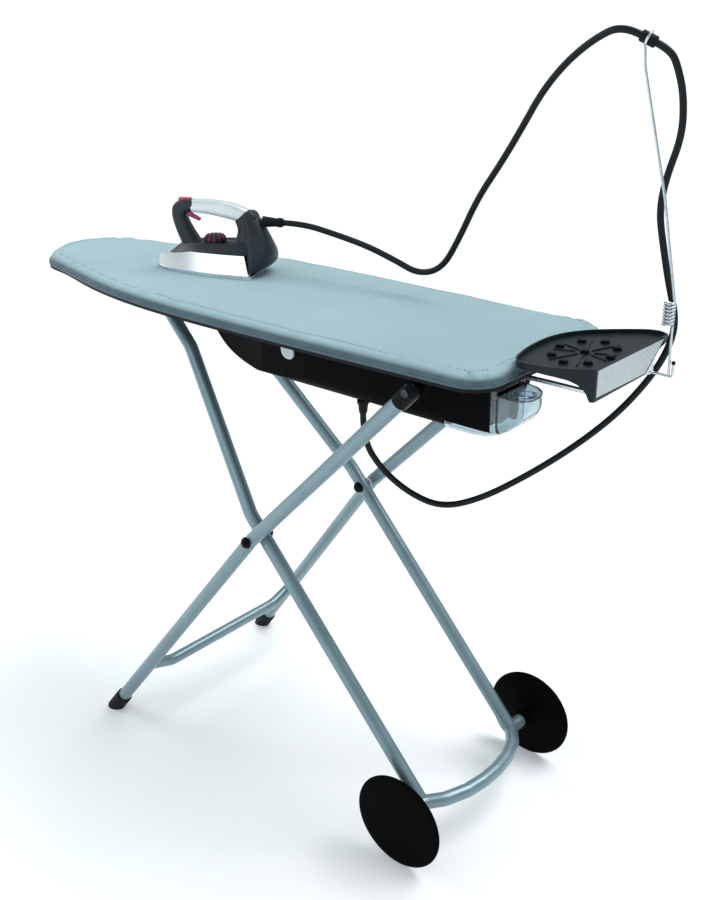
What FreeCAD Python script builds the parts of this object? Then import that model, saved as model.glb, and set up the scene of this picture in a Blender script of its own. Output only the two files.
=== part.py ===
import FreeCAD, Part
import os
from math import cos, sin, tan, pi, radians, degrees, sqrt, acos

# Steam ironing board system.  Millimetres, +Z up, X along the board.
# Shapes are drawn with X = 0 at the crossing of the legs, then moved by SHIFT_X.

V = FreeCAD.Vector

# board
board_length = 1135.0
board_half_w = 193.0
board_nose_x = -656.0
board_top_z = 884.0
corner_r = 55.0
cover_t = 2.0
cover_skirt = 18.0
deck_t = 2.0
deck_rim = 10.0
pad_t = 14.0
# legs
tube_r = 12.5
tube_wall = 1.5
pivot_z = 479.7
top_pivot_x = 356.0
top_pivot_z = 844.0
front_half_mid = 166.0
front_half_top = 181.0
front_half_foot = 213.0
foot_x = -355.5
foot_z = 13.0
rear_half = 137.5
axle_x = 361.0
wheel_r = 84.7
wheel_out = 208.0
wheel_in = 176.0
axle_r = 6.0
pin_r = 4.0
bush_r = 10.0
slide_pin_r = 6.0
# fits
run_gap = 0.06
face_gap = 0.3
# housing
house_half = 120.0
house_floor_z = 768.0
filler_r = 9.0
house_wall = 3.0
house_end_x = 372.0
cowl_end_x = 512.0
cowl_far_y = -45.0
tank_x = 462.0
cowl_top_z = 849.5
tank_top_z = 843.0
# iron rest
rest_z = 896.0
rest_reach = 109.0
rest_depth = 133.0
rest_wall = 2.5
# iron
iron_yaw = 24.0
dial_u = 117.8
iron_nose = V(-356.0, -34.0, board_top_z + face_gap)
# mast and hose
mast_y = 104.0
wire_r = 2.0
hose_r = 5.25
collar_dir = V(0.88, 0.22, -0.40)
collar_len = 24.0

board_end_x = board_nose_x + board_length
plate_z = board_top_z - cover_t - pad_t
deck_low_z = plate_z - deck_rim + deck_t
under_z = plate_z - deck_t
rest_out_x = board_end_x + rest_reach
mast_base_x = rest_out_x + 29.0
mast_tip_x = mast_base_x + 5.0
collar_c = V(mast_base_x - 83.0, 107.0, 1318.0)
tip_r = 3.2
SHIFT_X = -(board_nose_x + mast_tip_x + tip_r) / 2.0

parts = {}


def add(name, shape):
    s = shape.copy()
    s.translate(V(SHIFT_X, 0, 0))
    parts[name] = s


def fuse(shapes):
    out = shapes[0]
    if len(shapes) > 1:
        out = out.multiFuse(shapes[1:]).removeSplitter()
    return out


def group(shapes):
    return Part.makeCompound(shapes)


def mirror_y(shape):
    return shape.mirror(V(0, 0, 0), V(0, 1, 0))


def box(x0, x1, y0, y1, z0, z1):
    return Part.makeBox(x1 - x0, y1 - y0, z1 - z0, V(x0, y0, z0))


def rod(a, b, r):
    d = b.sub(a)
    return Part.makeCylinder(r, d.Length, a, d)


def ball(c, r):
    return Part.makeSphere(r, c)


def prism(pts, axis, lo, hi):
    """Extrude a closed polygon given in the plane normal to axis."""
    if axis == "Y":
        vs = [V(p[0], lo, p[1]) for p in pts]
        d = V(0, hi - lo, 0)
    elif axis == "X":
        vs = [V(lo, p[0], p[1]) for p in pts]
        d = V(hi - lo, 0, 0)
    else:
        vs = [V(p[0], p[1], lo) for p in pts]
        d = V(0, 0, hi - lo)
    return Part.Face(Part.makePolygon(vs + [vs[0]])).extrude(d)


def try_fillet(shape, r, keep):
    edges = [e for e in shape.Edges if keep(e)]
    for size in (r, r * 0.6):
        try:
            out = shape.makeFillet(size, edges)
            if out.isValid() and out.Volume > 0:
                return out
        except Exception:
            pass
    print("fillet left out", r)
    return shape


def round_path(pts, radius=None):
    """Straight runs joined by tangent arcs; radius None gives soft cord bends."""
    n = len(pts)
    edges = []
    start = pts[0]
    radii = []
    for i in range(1, n - 1):
        a = pts[i - 1].sub(pts[i])
        b = pts[i + 1].sub(pts[i])
        la = a.Length
        lb = b.Length
        a.normalize()
        b.normalize()
        turn = pi - acos(max(-1.0, min(1.0, a.dot(b))))
        if radius is None:
            t = 0.45 * min(la, lb)
            r = t / tan(turn / 2.0)
        else:
            r = radius
            t = r * tan(turn / 2.0)
        radii.append(r)
        p1 = pts[i].add(a.multiply(t))
        p2 = pts[i].add(b.multiply(t))
        mid = a.add(b)
        mid.normalize()
        h = sqrt(r * r + t * t) - r
        pm = pts[i].add(mid.multiply(h))
        if p1.sub(start).Length > 1e-4:
            edges.append(Part.LineSegment(start, p1).toShape())
        edges.append(Part.Arc(p1, pm, p2).toShape())
        start = p2
    edges.append(Part.LineSegment(start, pts[-1]).toShape())
    return Part.Wire(edges), radii


def sweep(pts, r, radius=None):
    wire, radii = round_path(pts, radius)
    d = pts[1].sub(pts[0])
    ring = Part.Wire(Part.makeCircle(r, pts[0], d))
    return wire.makePipeShell([ring], True, False), wire, radii


def bar(pts, r, radius):
    return sweep(pts, r, radius)[0]


def tube(pts, radius):
    outer = bar(pts, tube_r, radius)
    return outer, outer.cut(bar(pts, tube_r - tube_wall, radius))


# ---------------------------------------------------------------- board
# outline stations: distance from the nose / length, half width / widest
stations = [(0.0053, 0.171), (0.0247, 0.389), (0.0546, 0.554), (0.104, 0.632), (0.194, 0.782),
            (0.315, 0.933), (0.446, 0.995), (0.597, 1.0), (0.749, 0.987), (0.900, 0.961)]


def outline(inset):
    base = [(0.0, 0.0)] + stations
    raw = [(board_nose_x + s * board_length, w * board_half_w) for s, w in base]
    raw.append((board_end_x - corner_r, 0.953 * board_half_w))
    pts = []
    for i, p in enumerate(raw):
        if i == 0:
            pts.append((p[0] + inset, 0.0))
            continue
        q0 = raw[i - 1]
        q1 = raw[min(i + 1, len(raw) - 1)]
        if i == len(raw) - 1:
            pts.append((p[0], p[1] - inset))
            continue
        dx = q1[0] - q0[0]
        dy = q1[1] - q0[1]
        ln = sqrt(dx * dx + dy * dy)
        pts.append((p[0] + inset * dy / ln, p[1] - inset * dx / ln))
    far = [V(x, y, 0) for x, y in pts]
    near = [V(x, -y, 0) for x, y in pts[1:]]
    curve = Part.BSplineCurve()
    curve.interpolate(list(reversed(far)) + near)
    xe = board_end_x - inset
    w = pts[-1][1]
    xc = board_end_x - corner_r
    r = corner_r - inset
    k = r * (1 - cos(pi / 4))
    near_arc = Part.Arc(V(xc, -w, 0), V(xe - k, -w + k, 0), V(xe, -w + r, 0)).toShape()
    end_line = Part.LineSegment(V(xe, -w + r, 0), V(xe, w - r, 0)).toShape()
    far_arc = Part.Arc(V(xe, w - r, 0), V(xe - k, w - k, 0), V(xc, w, 0)).toShape()
    return Part.Wire([curve.toShape(), near_arc, end_line, far_arc])


def slab(inset, z0, z1):
    f = Part.Face(outline(inset))
    f.translate(V(0, 0, z0))
    return f.extrude(V(0, 0, z1 - z0))


def top_edges(z):
    def keep(e):
        b = e.BoundBox
        return abs(b.ZMin - z) < 0.01 and abs(b.ZMax - z) < 0.01
    return keep


def make_board():
    pan = slab(cover_t, deck_low_z, plate_z).cut(slab(cover_t + deck_t, deck_low_z - 1, under_z))
    holes = []
    for i in range(12):
        for j in (-1, 0, 1):
            x = board_nose_x + 150.0 + i * 62.0
            holes.append(box(x, x + 34.0, j * 58.0 - 4.0, j * 58.0 + 4.0, under_z - 1, plate_z + 1))
    add("board_deck", pan.cut(Part.makeCompound(holes)))
    pad = slab(cover_t, plate_z, plate_z + pad_t)
    add("pad_underlay", pad)
    skin = slab(0.0, board_top_z - cover_skirt, board_top_z)
    skin = try_fillet(skin, 5.0, top_edges(board_top_z))
    add("board_cover", skin.cut(slab(cover_t, board_top_z - cover_skirt - 1, board_top_z - cover_t)))


# ---------------------------------------------------------------- housing
def boat(inset, top):
    """Boat-shaped body: side profile crossed with plan outline."""
    f = house_floor_z + inset
    e = house_end_x
    prof = Part.BSplineCurve()
    prof.interpolate([V(-232 + inset, 0, top), V(-190 + inset, 0, 821 + inset),
                      V(-146 + inset, 0, 790 + inset), V(-75, 0, 772 + inset), V(0, 0, f)])
    line = [Part.LineSegment(V(0, 0, f), V(e, 0, f)).toShape(),
            Part.LineSegment(V(e, 0, f), V(e, 0, top)).toShape(),
            Part.LineSegment(V(e, 0, top), V(-232 + inset, 0, top)).toShape()]
    side = Part.Face(Part.Wire([prof.toShape()] + line))
    side.translate(V(0, -200, 0))
    side = side.extrude(V(0, 400, 0))
    h = house_half - inset
    plan = [(-235 + inset, -48 + inset), (-20, -107 + inset), (90, -h), (e + 1, -h),
            (e + 1, h), (90, h), (-20, 107 - inset), (-235 + inset, 48 - inset)]
    plan = prism(plan, "Z", 700, 900)
    section = box(-300, e, -h, h, f, top)
    section = section.makeFillet(25.0 - inset * 0.6, [q for q in section.Edges if q.BoundBox.ZMax < f + 0.1
                                                      and q.BoundBox.XLength > 100])
    return side.common(plan).common(section)


def cowl_solid(inset, x0, top):
    f = house_floor_z + inset
    a = cowl_end_x - 410.0 - inset
    b = top + 2 - f
    pts = []
    for i in range(13):
        t = i / 12.0 * pi / 2
        pts.append(V(410.0 + a * sin(t), 0, top + 2 - b * cos(t)))
    arc = Part.BSplineCurve()
    arc.interpolate(pts)
    side = Part.Face(Part.Wire([
        arc.toShape(),
        Part.LineSegment(pts[-1], V(x0, 0, top + 2)).toShape(),
        Part.LineSegment(V(x0, 0, top + 2), V(x0, 0, f)).toShape(),
        Part.LineSegment(V(x0, 0, f), pts[0]).toShape()]))
    side.translate(V(0, -200, 0))
    side = side.extrude(V(0, 400, 0))
    near = inset - house_half
    far = cowl_far_y - inset
    xe = cowl_end_x - inset
    r = 25.0 - inset
    q = 45.0 - inset
    k = 1 - cos(pi / 4)
    plan = Part.Face(Part.Wire([
        Part.LineSegment(V(x0, far, 0), V(x0, near, 0)).toShape(),
        Part.LineSegment(V(x0, near, 0), V(xe - r, near, 0)).toShape(),
        Part.Arc(V(xe - r, near, 0), V(xe - r * k, near + r * k, 0), V(xe, near + r, 0)).toShape(),
        Part.LineSegment(V(xe, near + r, 0), V(xe, far - q, 0)).toShape(),
        Part.Arc(V(xe, far - q, 0), V(xe - q * k, far - q * k, 0), V(xe - q, far, 0)).toShape(),
        Part.LineSegment(V(xe - q, far, 0), V(x0, far, 0)).toShape()]))
    plan.translate(V(0, 0, 700))
    body = side.common(plan.extrude(V(0, 0, top - 700)))
    low = 25.0 - inset * 0.6

    def keep(edge):
        b2 = edge.BoundBox
        return b2.ZMax < f + 0.5 and b2.XLength > 15 and b2.YLength < 0.1
    return try_fillet(body, low, keep)


def make_housing():
    shell = boat(0.0, under_z).cut(boat(house_wall, under_z + 1))
    # far wall openings for the inlet and the switch, near floor hole for the hose gland
    shell = shell.cut(box(186, 242, 100, 130, 790, 812))
    shell = shell.cut(rod(V(196, -98, 760), V(196, -98, 775), 5.0))
    add("housing_shell", shell)
    whole = cowl_solid(0.0, house_end_x, cowl_top_z)
    inner = cowl_solid(2.5, house_end_x - 1, cowl_top_z - 2.5)
    skin = whole.cut(inner)
    cut_x = box(tank_x - face_gap, 600, -200, 200, 700, 900)
    add("end_cowl", skin.cut(cut_x))
    tank_out = whole.common(box(tank_x, 600, -200, 200, 700, tank_top_z))
    tank_in = inner.common(box(tank_x + 2.5, 600, -200, 200, 700, tank_top_z - 2.5))
    neck = V(cowl_end_x - 17.0, cowl_far_y - 45.0, tank_top_z)
    add("water_tank", tank_out.cut(tank_in).cut(rod(neck.sub(V(0, 0, 5)), neck.add(V(0, 0, 5)), filler_r)))
    lid = fuse([rod(neck.add(V(0, 0, face_gap)), neck.add(V(0, 0, 3)), filler_r + 4.0),
                rod(neck.sub(V(0, 0, 4)), neck.add(V(0, 0, 1)), filler_r - run_gap)])
    add("tank_cap", lid)
    # black moulded block seen through the clear end
    block_far = cowl_far_y - 17.0
    block = box(house_end_x, 440, -104, block_far, 786, 840)
    block = fuse([block, box(house_end_x, 386, -104, block_far, 774, 842)])
    flange = boat(house_wall, under_z).common(box(house_end_x - 4, house_end_x, -200, 200, 700, under_z))
    block = fuse([block, flange])
    add("rear_bulkhead", block)
    cap = Part.makeCylinder(17.0, 12.0, V(440, -84, 805), V(1, 0, 0))
    add("drain_cap", try_fillet(cap, 3.0, lambda e: e.BoundBox.XMin > 451))
    knob = fuse([Part.makeCylinder(9.0, 10.0, V(440, -93, 830.5), V(1, 0, 0)),
                 Part.makeCylinder(5.0, 13.0, V(440, -93, 830.5), V(1, 0, 0))])
    add("valve_knob", knob)


def make_inside():
    f = house_floor_z + house_wall
    tank = Part.makeCylinder(37.0, 150.0, V(285, -75, 816), V(0, 1, 0))
    feet = [box(262, 308, y, y + 8, f, 800) for y in (-60, 52)]
    add("boiler", fuse([tank] + feet))
    add("pump", fuse([box(150, 206, 30, 74, f, 806), rod(V(206, 52, 790), V(226, 52, 790), 5.0)]))
    add("steam_valve", fuse([box(176, 216, -84, -56, f, 796), rod(V(196, -70, 796), V(196, -70, 822), 10.0),
                             box(190, 202, -101, -84, f, 783)]))
    add("fan_motor", fuse([rod(V(60, 0, f), V(60, 0, 803), 26.0), rod(V(60, 0, 803), V(60, 0, 842), 3.0)]))
    disc = rod(V(60, 0, 808), V(60, 0, 811), 62.0)
    hub = rod(V(60, 0, 808), V(60, 0, 836), 9.0)
    blades = []
    for i in range(10):
        b = box(22, 60, -1, 1, 811, 832)
        b.translate(V(0, 0, 0))
        b.rotate(V(22, 0, 0), V(0, 0, 1), 35)
        b.translate(V(60, 0, 0))
        b.rotate(V(60, 0, 0), V(0, 0, 1), 36.0 * i)
        blades.append(b)
    ring = rod(V(60, 0, 800), V(60, 0, 840), 61.5)
    wheel = fuse([disc, hub] + [b.common(ring) for b in blades])
    add("fan_impeller", wheel.cut(rod(V(60, 0, 800), V(60, 0, 845), 3.0 + run_gap)))
    board = box(-80, -10, -45, 45, 784, 786)
    posts = [rod(V(x, y, 773 if x < -50 else f), V(x, y, 784), 3.0) for x in (-72, -18) for y in (-38, 38)]
    chips = [box(-60, -40, -20, 10, 786, 796), box(-34, -18, 10, 34, 786, 802)]
    floor_cut = boat(0.0, under_z).cut(boat(house_wall, under_z + 1))
    legs = [rod(V(x, y, 768), V(x, y, 784), 3.0).cut(floor_cut) for x in (-72, -18) for y in (-38, 38)]
    legs = [max(s.Solids, key=lambda q: q.BoundBox.ZMax) for s in legs]
    add("control_board", fuse([board] + chips + legs))
    panel = box(186.1, 241.9, 104, 121.5, 790.1, 811.9)
    panel = panel.cut(box(190, 212, 108, 130, 794, 808)).cut(box(219, 237, 100, 130, 795, 807))
    pins = [box(195, 197, 106, 116, 800, 803), box(205, 207, 106, 116, 800, 803)]
    axle_hole = rod(V(228, 114, 792), V(228, 114, 810), 1.5 + run_gap)
    add("power_inlet", fuse([panel] + pins).cut(axle_hole))
    key = prism([(220, 118.0), (236, 118.0), (236, 123.0), (228, 121.0), (220, 123.0)], "Z", 796, 806)
    key = fuse([key, box(225, 231, 112, 118.5, 796, 806), rod(V(228, 114, 793), V(228, 114, 809), 1.5)])
    add("rocker_switch", key)


# ---------------------------------------------------------------- under the deck
rail_half = 20.0
slot_x0 = -637.0
slot_x1 = -262.0


def make_rails():
    z0 = top_pivot_z - bush_r - 5.0
    out = box(slot_x0 - 8, slot_x1 + 12, -rail_half - 3, rail_half + 3, z0, under_z)
    out = out.cut(box(slot_x0 - 20, slot_x1 + 20, -rail_half, rail_half, z0 - 1, under_z - 3))
    h = bush_r + 0.5
    slot = box(slot_x0, slot_x1, -40, 40, top_pivot_z - h, top_pivot_z + h)
    add("slide_rail", out.cut(slot))
    y1 = front_half_top - tube_r - 3.0
    tabs = []
    for s in (-1, 1):
        lo = min(s * (y1 - 3.0), s * y1)
        plate = prism([(330, under_z), (382, under_z), (366, 834), (346, 834)], "Y", lo, lo + 3.0)
        hole = rod(V(top_pivot_x, s * 100, top_pivot_z), V(top_pivot_x, s * 220, top_pivot_z), pin_r)
        tabs.append(plate.cut(hole))
    for x in (37.0, 80.0):
        ear = box(x, x + 4, -134, -122, 842, under_z)
        tabs.append(ear.cut(rod(V(x - 1, -128, 848), V(x + 5, -128, 848), 3.0 + run_gap)))
    add("pivot_brackets", group(tabs))
    bolts = []
    for s in (-1, 1):
        a = V(top_pivot_x, s * (y1 - 6), top_pivot_z)
        b = V(top_pivot_x, s * (front_half_top + 15.5), top_pivot_z)
        c = V(top_pivot_x, s * (front_half_top + 18.5), top_pivot_z)
        nut = rod(V(top_pivot_x, s * (y1 - 7), top_pivot_z), V(top_pivot_x, s * (y1 - 3), top_pivot_z), 7.0)
        bolts.append(fuse([rod(a, b, pin_r), rod(b, c, 6.5), nut]))
    add("top_pivot_bolts", group(bolts))
    tab = box(44, 76, -130.5, -126.5, 812, 838)
    tab = try_fillet(tab, 1.5, lambda e: e.BoundBox.ZLength > 20)
    neck = box(50, 70, -130, -126.8, 836, 849)
    pin = rod(V(36, -128, 848), V(85, -128, 848), 3.0)
    barrel = rod(V(46, -128, 848), V(74, -128, 848), 5.0)
    add("height_lever", fuse([tab, neck, pin, barrel]))


# ---------------------------------------------------------------- legs
def make_front_legs():
    caps = []
    feet = []
    for s, side in ((-1, "near"), (1, "far")):
        foot = V(foot_x, s * front_half_foot, foot_z)
        mid = V(0, s * front_half_mid, pivot_z)
        top = V(top_pivot_x, s * front_half_top, top_pivot_z)
        outer, leg = tube([foot, mid, top], 90.0)
        bore = rod(V(0, s * 100, pivot_z), V(0, s * 220, pivot_z), pin_r + run_gap)
        bore2 = rod(V(top_pivot_x, s * 100, top_pivot_z), V(top_pivot_x, s * 230, top_pivot_z), pin_r + run_gap)
        add("front_leg_" + side, leg.cut(bore).cut(bore2))
        d = top.sub(mid)
        d.normalize()
        cap = fuse([ball(top, 15.0), rod(top.sub(V(d).multiply(32.0)), top, 15.0)])
        caps.append(cap.cut(bar([foot, mid, top], tube_r, 90.0)).cut(bore2))
        u = mid.sub(foot)
        u.normalize()
        low = foot.sub(V(u).multiply(20.0))
        high = foot.add(V(u).multiply(28.0))
        boot = rod(low, high, 15.5).common(box(-600, 600, -400, 400, 0, 200))
        feet.append(boot.cut(outer))
    add("leg_top_caps", group(caps))
    add("foot_caps", group(feet))
    t = 122.0 / (pivot_z - foot_z)
    ex = foot_x * (1 - t)
    ey = front_half_foot + (front_half_mid - front_half_foot) * t
    pts = [V(ex, -ey, foot_z + 122), V(ex + 1, -ey + 55, 118), V(ex + 1, ey - 55, 118), V(ex, ey, foot_z + 122)]
    cross = bar(pts, 11.0, 70.0)
    for s in (-1, 1):
        foot = V(foot_x, s * front_half_foot, foot_z)
        mid = V(0, s * front_half_mid, pivot_z)
        top = V(top_pivot_x, s * front_half_top, top_pivot_z)
        cross = cross.cut(bar([foot, mid, top], tube_r, 90.0))
    cross = max(cross.Solids, key=lambda q: q.Volume)
    core = bar(pts, 9.5, 70.0)
    add("front_crossbar", cross.cut(core))


def make_rear_legs():
    half_bow = [V(axle_x + x, y, wheel_r) for x, y in ((0, 170), (0, 140), (26, 105), (42, 62), (48, 20))]
    bow_pts = [V(p.x, -p.y, p.z) for p in half_bow] + list(reversed(half_bow))
    bow_outer, bow = tube(bow_pts, 40.0)
    washers = []
    balls = []
    bolts = []
    for s, side in ((-1, "near"), (1, "far")):
        low = V(axle_x, s * rear_half, wheel_r)
        mid = V(0, s * rear_half, pivot_z)
        up = mid.sub(low)
        up.normalize()
        knee = mid.add(V(up).multiply(42.0))
        bend = V(-235.6, s * 71.0, 762.0)
        top = V(-top_pivot_x, s * 42.0, top_pivot_z)
        leg = tube([low, knee, bend, top], 60.0)[1]
        bore = rod(V(0, s * 100, pivot_z), V(0, s * 220, pivot_z), pin_r)
        slide = rod(V(-top_pivot_x, -60, top_pivot_z), V(-top_pivot_x, 60, top_pivot_z), slide_pin_r)
        leg = leg.cut(bow_outer).cut(bore).cut(slide)
        add("rear_leg_" + side, max(leg.Solids, key=lambda q: q.Volume))
        gap0 = rear_half + tube_r
        gap1 = front_half_mid - tube_r - face_gap
        w = rod(V(0, s * gap0, pivot_z), V(0, s * gap1, pivot_z), 10.0)
        washers.append(w.cut(rod(V(0, s * 100, pivot_z), V(0, s * 200, pivot_z), pin_r)))
        out_y = front_half_mid + tube_r + face_gap + 0.9
        in_y = rear_half - tube_r
        bolts.append(rod(V(0, s * (in_y - 3), pivot_z), V(0, s * (out_y + 3), pivot_z), pin_r))
        for y, sgn in ((out_y, s), (in_y, -s)):
            c = V(0, s * y - sgn * 2.0, pivot_z)
            dome = ball(c, 11.0).common(rod(V(0, s * y, pivot_z), V(0, s * y + sgn * 12, pivot_z), 12.0))
            balls.append(dome.cut(bolts[-1]))
    ends = [rod(V(axle_x, s * 157, wheel_r), V(axle_x, s * 171.5, wheel_r), tube_r - tube_wall)
            for s in (-1, 1)]
    stubs = [rod(V(axle_x, s * 165, wheel_r), V(axle_x, s * 196, wheel_r), axle_r) for s in (-1, 1)]
    add("axle_bow", fuse([bow] + ends + stubs))
    add("centre_bolts", group(bolts))
    add("pivot_spacers", group(washers))
    add("ball_caps", group(balls))
    rod_len = 42.0
    add("slide_axle", rod(V(-top_pivot_x, -rod_len, top_pivot_z), V(-top_pivot_x, rod_len, top_pivot_z),
                          slide_pin_r))
    rings = []
    for s in (-1, 1):
        a = V(-top_pivot_x, s * 14, top_pivot_z)
        b = V(-top_pivot_x, s * 25, top_pivot_z)
        ring = fuse([rod(a, b, bush_r), rod(a, V(-top_pivot_x, s * 19.2, top_pivot_z), bush_r + 3)])
        hole = rod(V(-top_pivot_x, -60, top_pivot_z), V(-top_pivot_x, 60, top_pivot_z), slide_pin_r)
        rings.append(ring.cut(hole))
    add("slide_bushes", group(rings))


def make_wheels():
    prof = [(axle_r + run_gap, 0), (16, 0), (18, 8), (40, 13), (62, 17), (76, 20), (82.2, 22.4), (84.2, 24.6),
            (84.7, 26.6), (84.2, 28.2), (82.2, 29.6), (76, 30.6), (50, 31.5), (25, 31.9), (0, 32.0),
            (0, 21), (axle_r + run_gap, 21)]
    k = (wheel_out - wheel_in) / 32.0
    for s, side in ((-1, "near"), (1, "far")):
        pts = [V(axle_x, s * (wheel_in + y * k), wheel_r + r * wheel_r / 84.7) for r, y in prof]
        pts = [V(p.x, p.y, wheel_r + (axle_r + run_gap if abs(q[0] - axle_r - run_gap) < 1e-6
                                      else q[0] * wheel_r / 84.7)) for p, q in zip(pts, prof)]
        f = Part.Face(Part.makePolygon(pts + [pts[0]]))
        w = f.revolve(V(axle_x, 0, wheel_r), V(0, 1, 0), 360)
        w = Part.makeSolid(w) if w.ShapeType == "Shell" else w
        if w.Volume < 0:
            w.reverse()
        add("wheel_" + side, w)


# ---------------------------------------------------------------- iron rest and mast
def leaf_wire(z, inset=0.0):
    k = rest_depth / 133.0
    pts = [(0, 150), (-20, 160), (-58, 139), (-96, 104), (-127, 52), (-133, -10), (-124, -68),
           (-106, -102), (-76, -104), (-36, -90), (0, -66)]
    cx = -61.0 * k
    cy = 15.0
    out = []
    for x, y in pts:
        kx = 1.0 - inset / (66.0 * k)
        ky = 1.0 - inset / 110.0
        out.append(V(rest_out_x + cx + (x * k - cx) * kx, cy + (y - cy) * ky, z))
    c = Part.BSplineCurve()
    c.interpolate(out)
    return Part.Wire([c.toShape(), Part.LineSegment(out[-1], out[0]).toShape()])


def leaf(z0, z1, inset=0.0):
    return Part.Face(leaf_wire(z0, inset)).extrude(V(0, 0, z1 - z0))


def make_rest():
    body = leaf(846, rest_z).cut(leaf(890, 900, rest_wall)).cut(leaf(840, 887, rest_wall))
    web = [(-188, 886.5), (-90, 886.5), (-68, 885), (-48, 882.5), (-32, 879), (-22, 874), (-15, 868),
           (-10, 860), (-7, 851), (-5, 847), (4, 847), (4, 840), (-188, 840)]
    side = prism([(rest_out_x + x, z) for x, z in web], "Y", -200, 200)
    end = prism([(-120, 840), (-120, 847), (84, 849), (126, 880), (150, 886), (175, 886.5), (175, 840)],
                "X", rest_out_x - 188, rest_out_x + 12)
    mid_x = rest_out_x - 61.0
    body = body.cut(side).cut(end)
    body = max(body.Solids, key=lambda q: q.Volume)
    ribs = []
    for a in (20, 70, 110, 160, 200, 250, 290, 340):
        b = box(14, 46 if a in (20, 160, 200, 340) else 66, -1, 1, 889.5, 891.8)
        b.rotate(V(0, 0, 0), V(0, 0, 1), a)
        b.translate(V(mid_x, 8, 0))
        ribs.append(b)
    body = fuse([body] + ribs)
    studs = []
    ring = [(0, 0)] + [(42 * cos(radians(a)), 60 * sin(radians(a))) for a in range(0, 360, 45)]
    for x, y in ring:
        c = V(mid_x + x, 8 + y, 890)
        st = fuse([rod(c, c.add(V(0, 0, 5)), 6.0), rod(c, c.add(V(0, 0, 1.5)), 7.5)])
        st = try_fillet(st, 1.5, lambda e: e.BoundBox.ZMin > 894.5)
        studs.append(st)
    body = body.cut(Part.makeCompound(studs))
    rods = []
    for y in (-48, 76):
        root_x = rest_out_x - 148.0
        rods.append(bar([V(root_x, y, under_z), V(root_x, y, 853.8), V(rest_out_x - rest_wall + 0.5, y, 853.8)], 3.8, 9.0))
    add("rest_tray", body.cut(Part.makeCompound(rods)))
    add("rest_studs", group(studs))
    add("rest_rods", group(rods))
    face = prism([(-62, 854), (80, 852), (122, 882), (136, 893), (-62, 893)], "X", rest_out_x,
                 rest_out_x + 1.0)
    add("rest_panel", face)


def make_mast():
    zb = 847.5
    base = V(mast_base_x, mast_y, zb)
    arm = bar([V(rest_out_x - 1, mast_y, zb + 1), V(mast_tip_x, mast_y, zb), V(mast_tip_x, mast_y, zb + 21)],
              wire_r, 4.0)
    lug = box(rest_out_x - 14, rest_out_x, mast_y - 6, mast_y + 6, zb - 2, 872)
    lug = lug.cut(Part.makeCompound([parts["rest_tray"].copy()]).translate(V(-SHIFT_X, 0, 0)))
    lug = max(lug.Solids, key=lambda q: q.Volume)
    add("mast_bracket", fuse([arm, lug]))
    add("mast_tip", ball(V(mast_tip_x, mast_y, zb + 22), tip_r).cut(arm))
    s0 = V(mast_base_x - 3.0, mast_y, 923.0)
    turns = 7
    coil_r = 7.5
    pitch = 5.2
    s1 = V(s0.x, mast_y, s0.z + turns * pitch)
    lower = bar([V(mast_base_x - 1, mast_y, zb + wire_r), V(s0.x, mast_y, s0.z - 12), s0], wire_r, 30.0)
    add("mast_lower", lower)
    helix = Part.makeHelix(pitch, turns * pitch, coil_r)
    ring = Part.Wire(Part.makeCircle(wire_r - 0.2, V(coil_r, 0, 0), V(0, 1, pitch / (2 * pi * coil_r))))
    spring = helix.makePipeShell([ring], True, True)
    spring.translate(V(s0.x - coil_r, mast_y, s0.z))
    add("mast_spring", spring)
    d = V(collar_dir)
    d.normalize()
    u = d.cross(V(0, 0, 1))
    u.normalize()
    w = u.cross(d)
    hook_r = 8.5 + wire_r - 0.1
    pts = []
    for a in (-90, -30, 30, 90):
        pts.append(collar_c.add(V(u).multiply(hook_r * cos(radians(a)))).add(
            V(w).multiply(hook_r * sin(radians(a)))))
    start = pts[0]
    upper = bar([s1, V(mast_base_x - 34.0, mast_y, 1105.0), start.add(V(3.0, -1.0, -26.0)), start], wire_r, 60.0)
    lobe = []
    for i in range(11):
        a = radians(-90 + 30.0 * i)
        lobe.append(collar_c.add(V(u).multiply(hook_r * cos(a))).add(V(w).multiply(hook_r * sin(a))))
    axis_d = Part.Arc(lobe[0], lobe[3], lobe[6]).toShape()
    axis_e = Part.Arc(lobe[6], lobe[8], lobe[9]).toShape()
    path = Part.Wire([axis_d, axis_e])
    circ = Part.Wire(Part.makeCircle(wire_r - 0.1, lobe[0], u))
    hook = path.makePipeShell([circ], True, False)
    tipball = ball(lobe[9], wire_r + 1.2)
    add("mast_upper", fuse([upper, hook, tipball]))
    a = collar_c.sub(V(d).multiply(collar_len / 2))
    b = collar_c.add(V(d).multiply(collar_len / 2))
    col = rod(a, b, 8.5)
    add("hose_collar", try_fillet(col, 2.0, lambda e: True))
    return a, b, d


# ---------------------------------------------------------------- iron
def iron_place(shape):
    s = shape.copy()
    s.rotate(V(0, 0, 0), V(0, 0, 1), iron_yaw)
    s.translate(iron_nose)
    return s


def sole(x0, x1, half, z):
    """Pointed outline from nose x0 to heel x1."""
    pts = [(0.0, 0.0), (0.068, 0.30), (0.218, 0.61), (0.437, 0.84), (0.680, 0.965), (1.0, 1.0)]
    up = [V(x0 + (x1 - x0) * x, half * y, z) for x, y in pts[1:]]
    dn = [V(p.x, -p.y, z) for p in up]
    c = Part.BSplineCurve()
    c.interpolate(list(reversed(up)) + [V(x0, 0, z)] + dn)
    ln = Part.LineSegment(dn[-1], up[-1]).toShape()
    return Part.Wire([c.toShape(), ln])


def iron_loft(sections):
    return Part.makeLoft([sole(*row) for row in sections], True, False)


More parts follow.
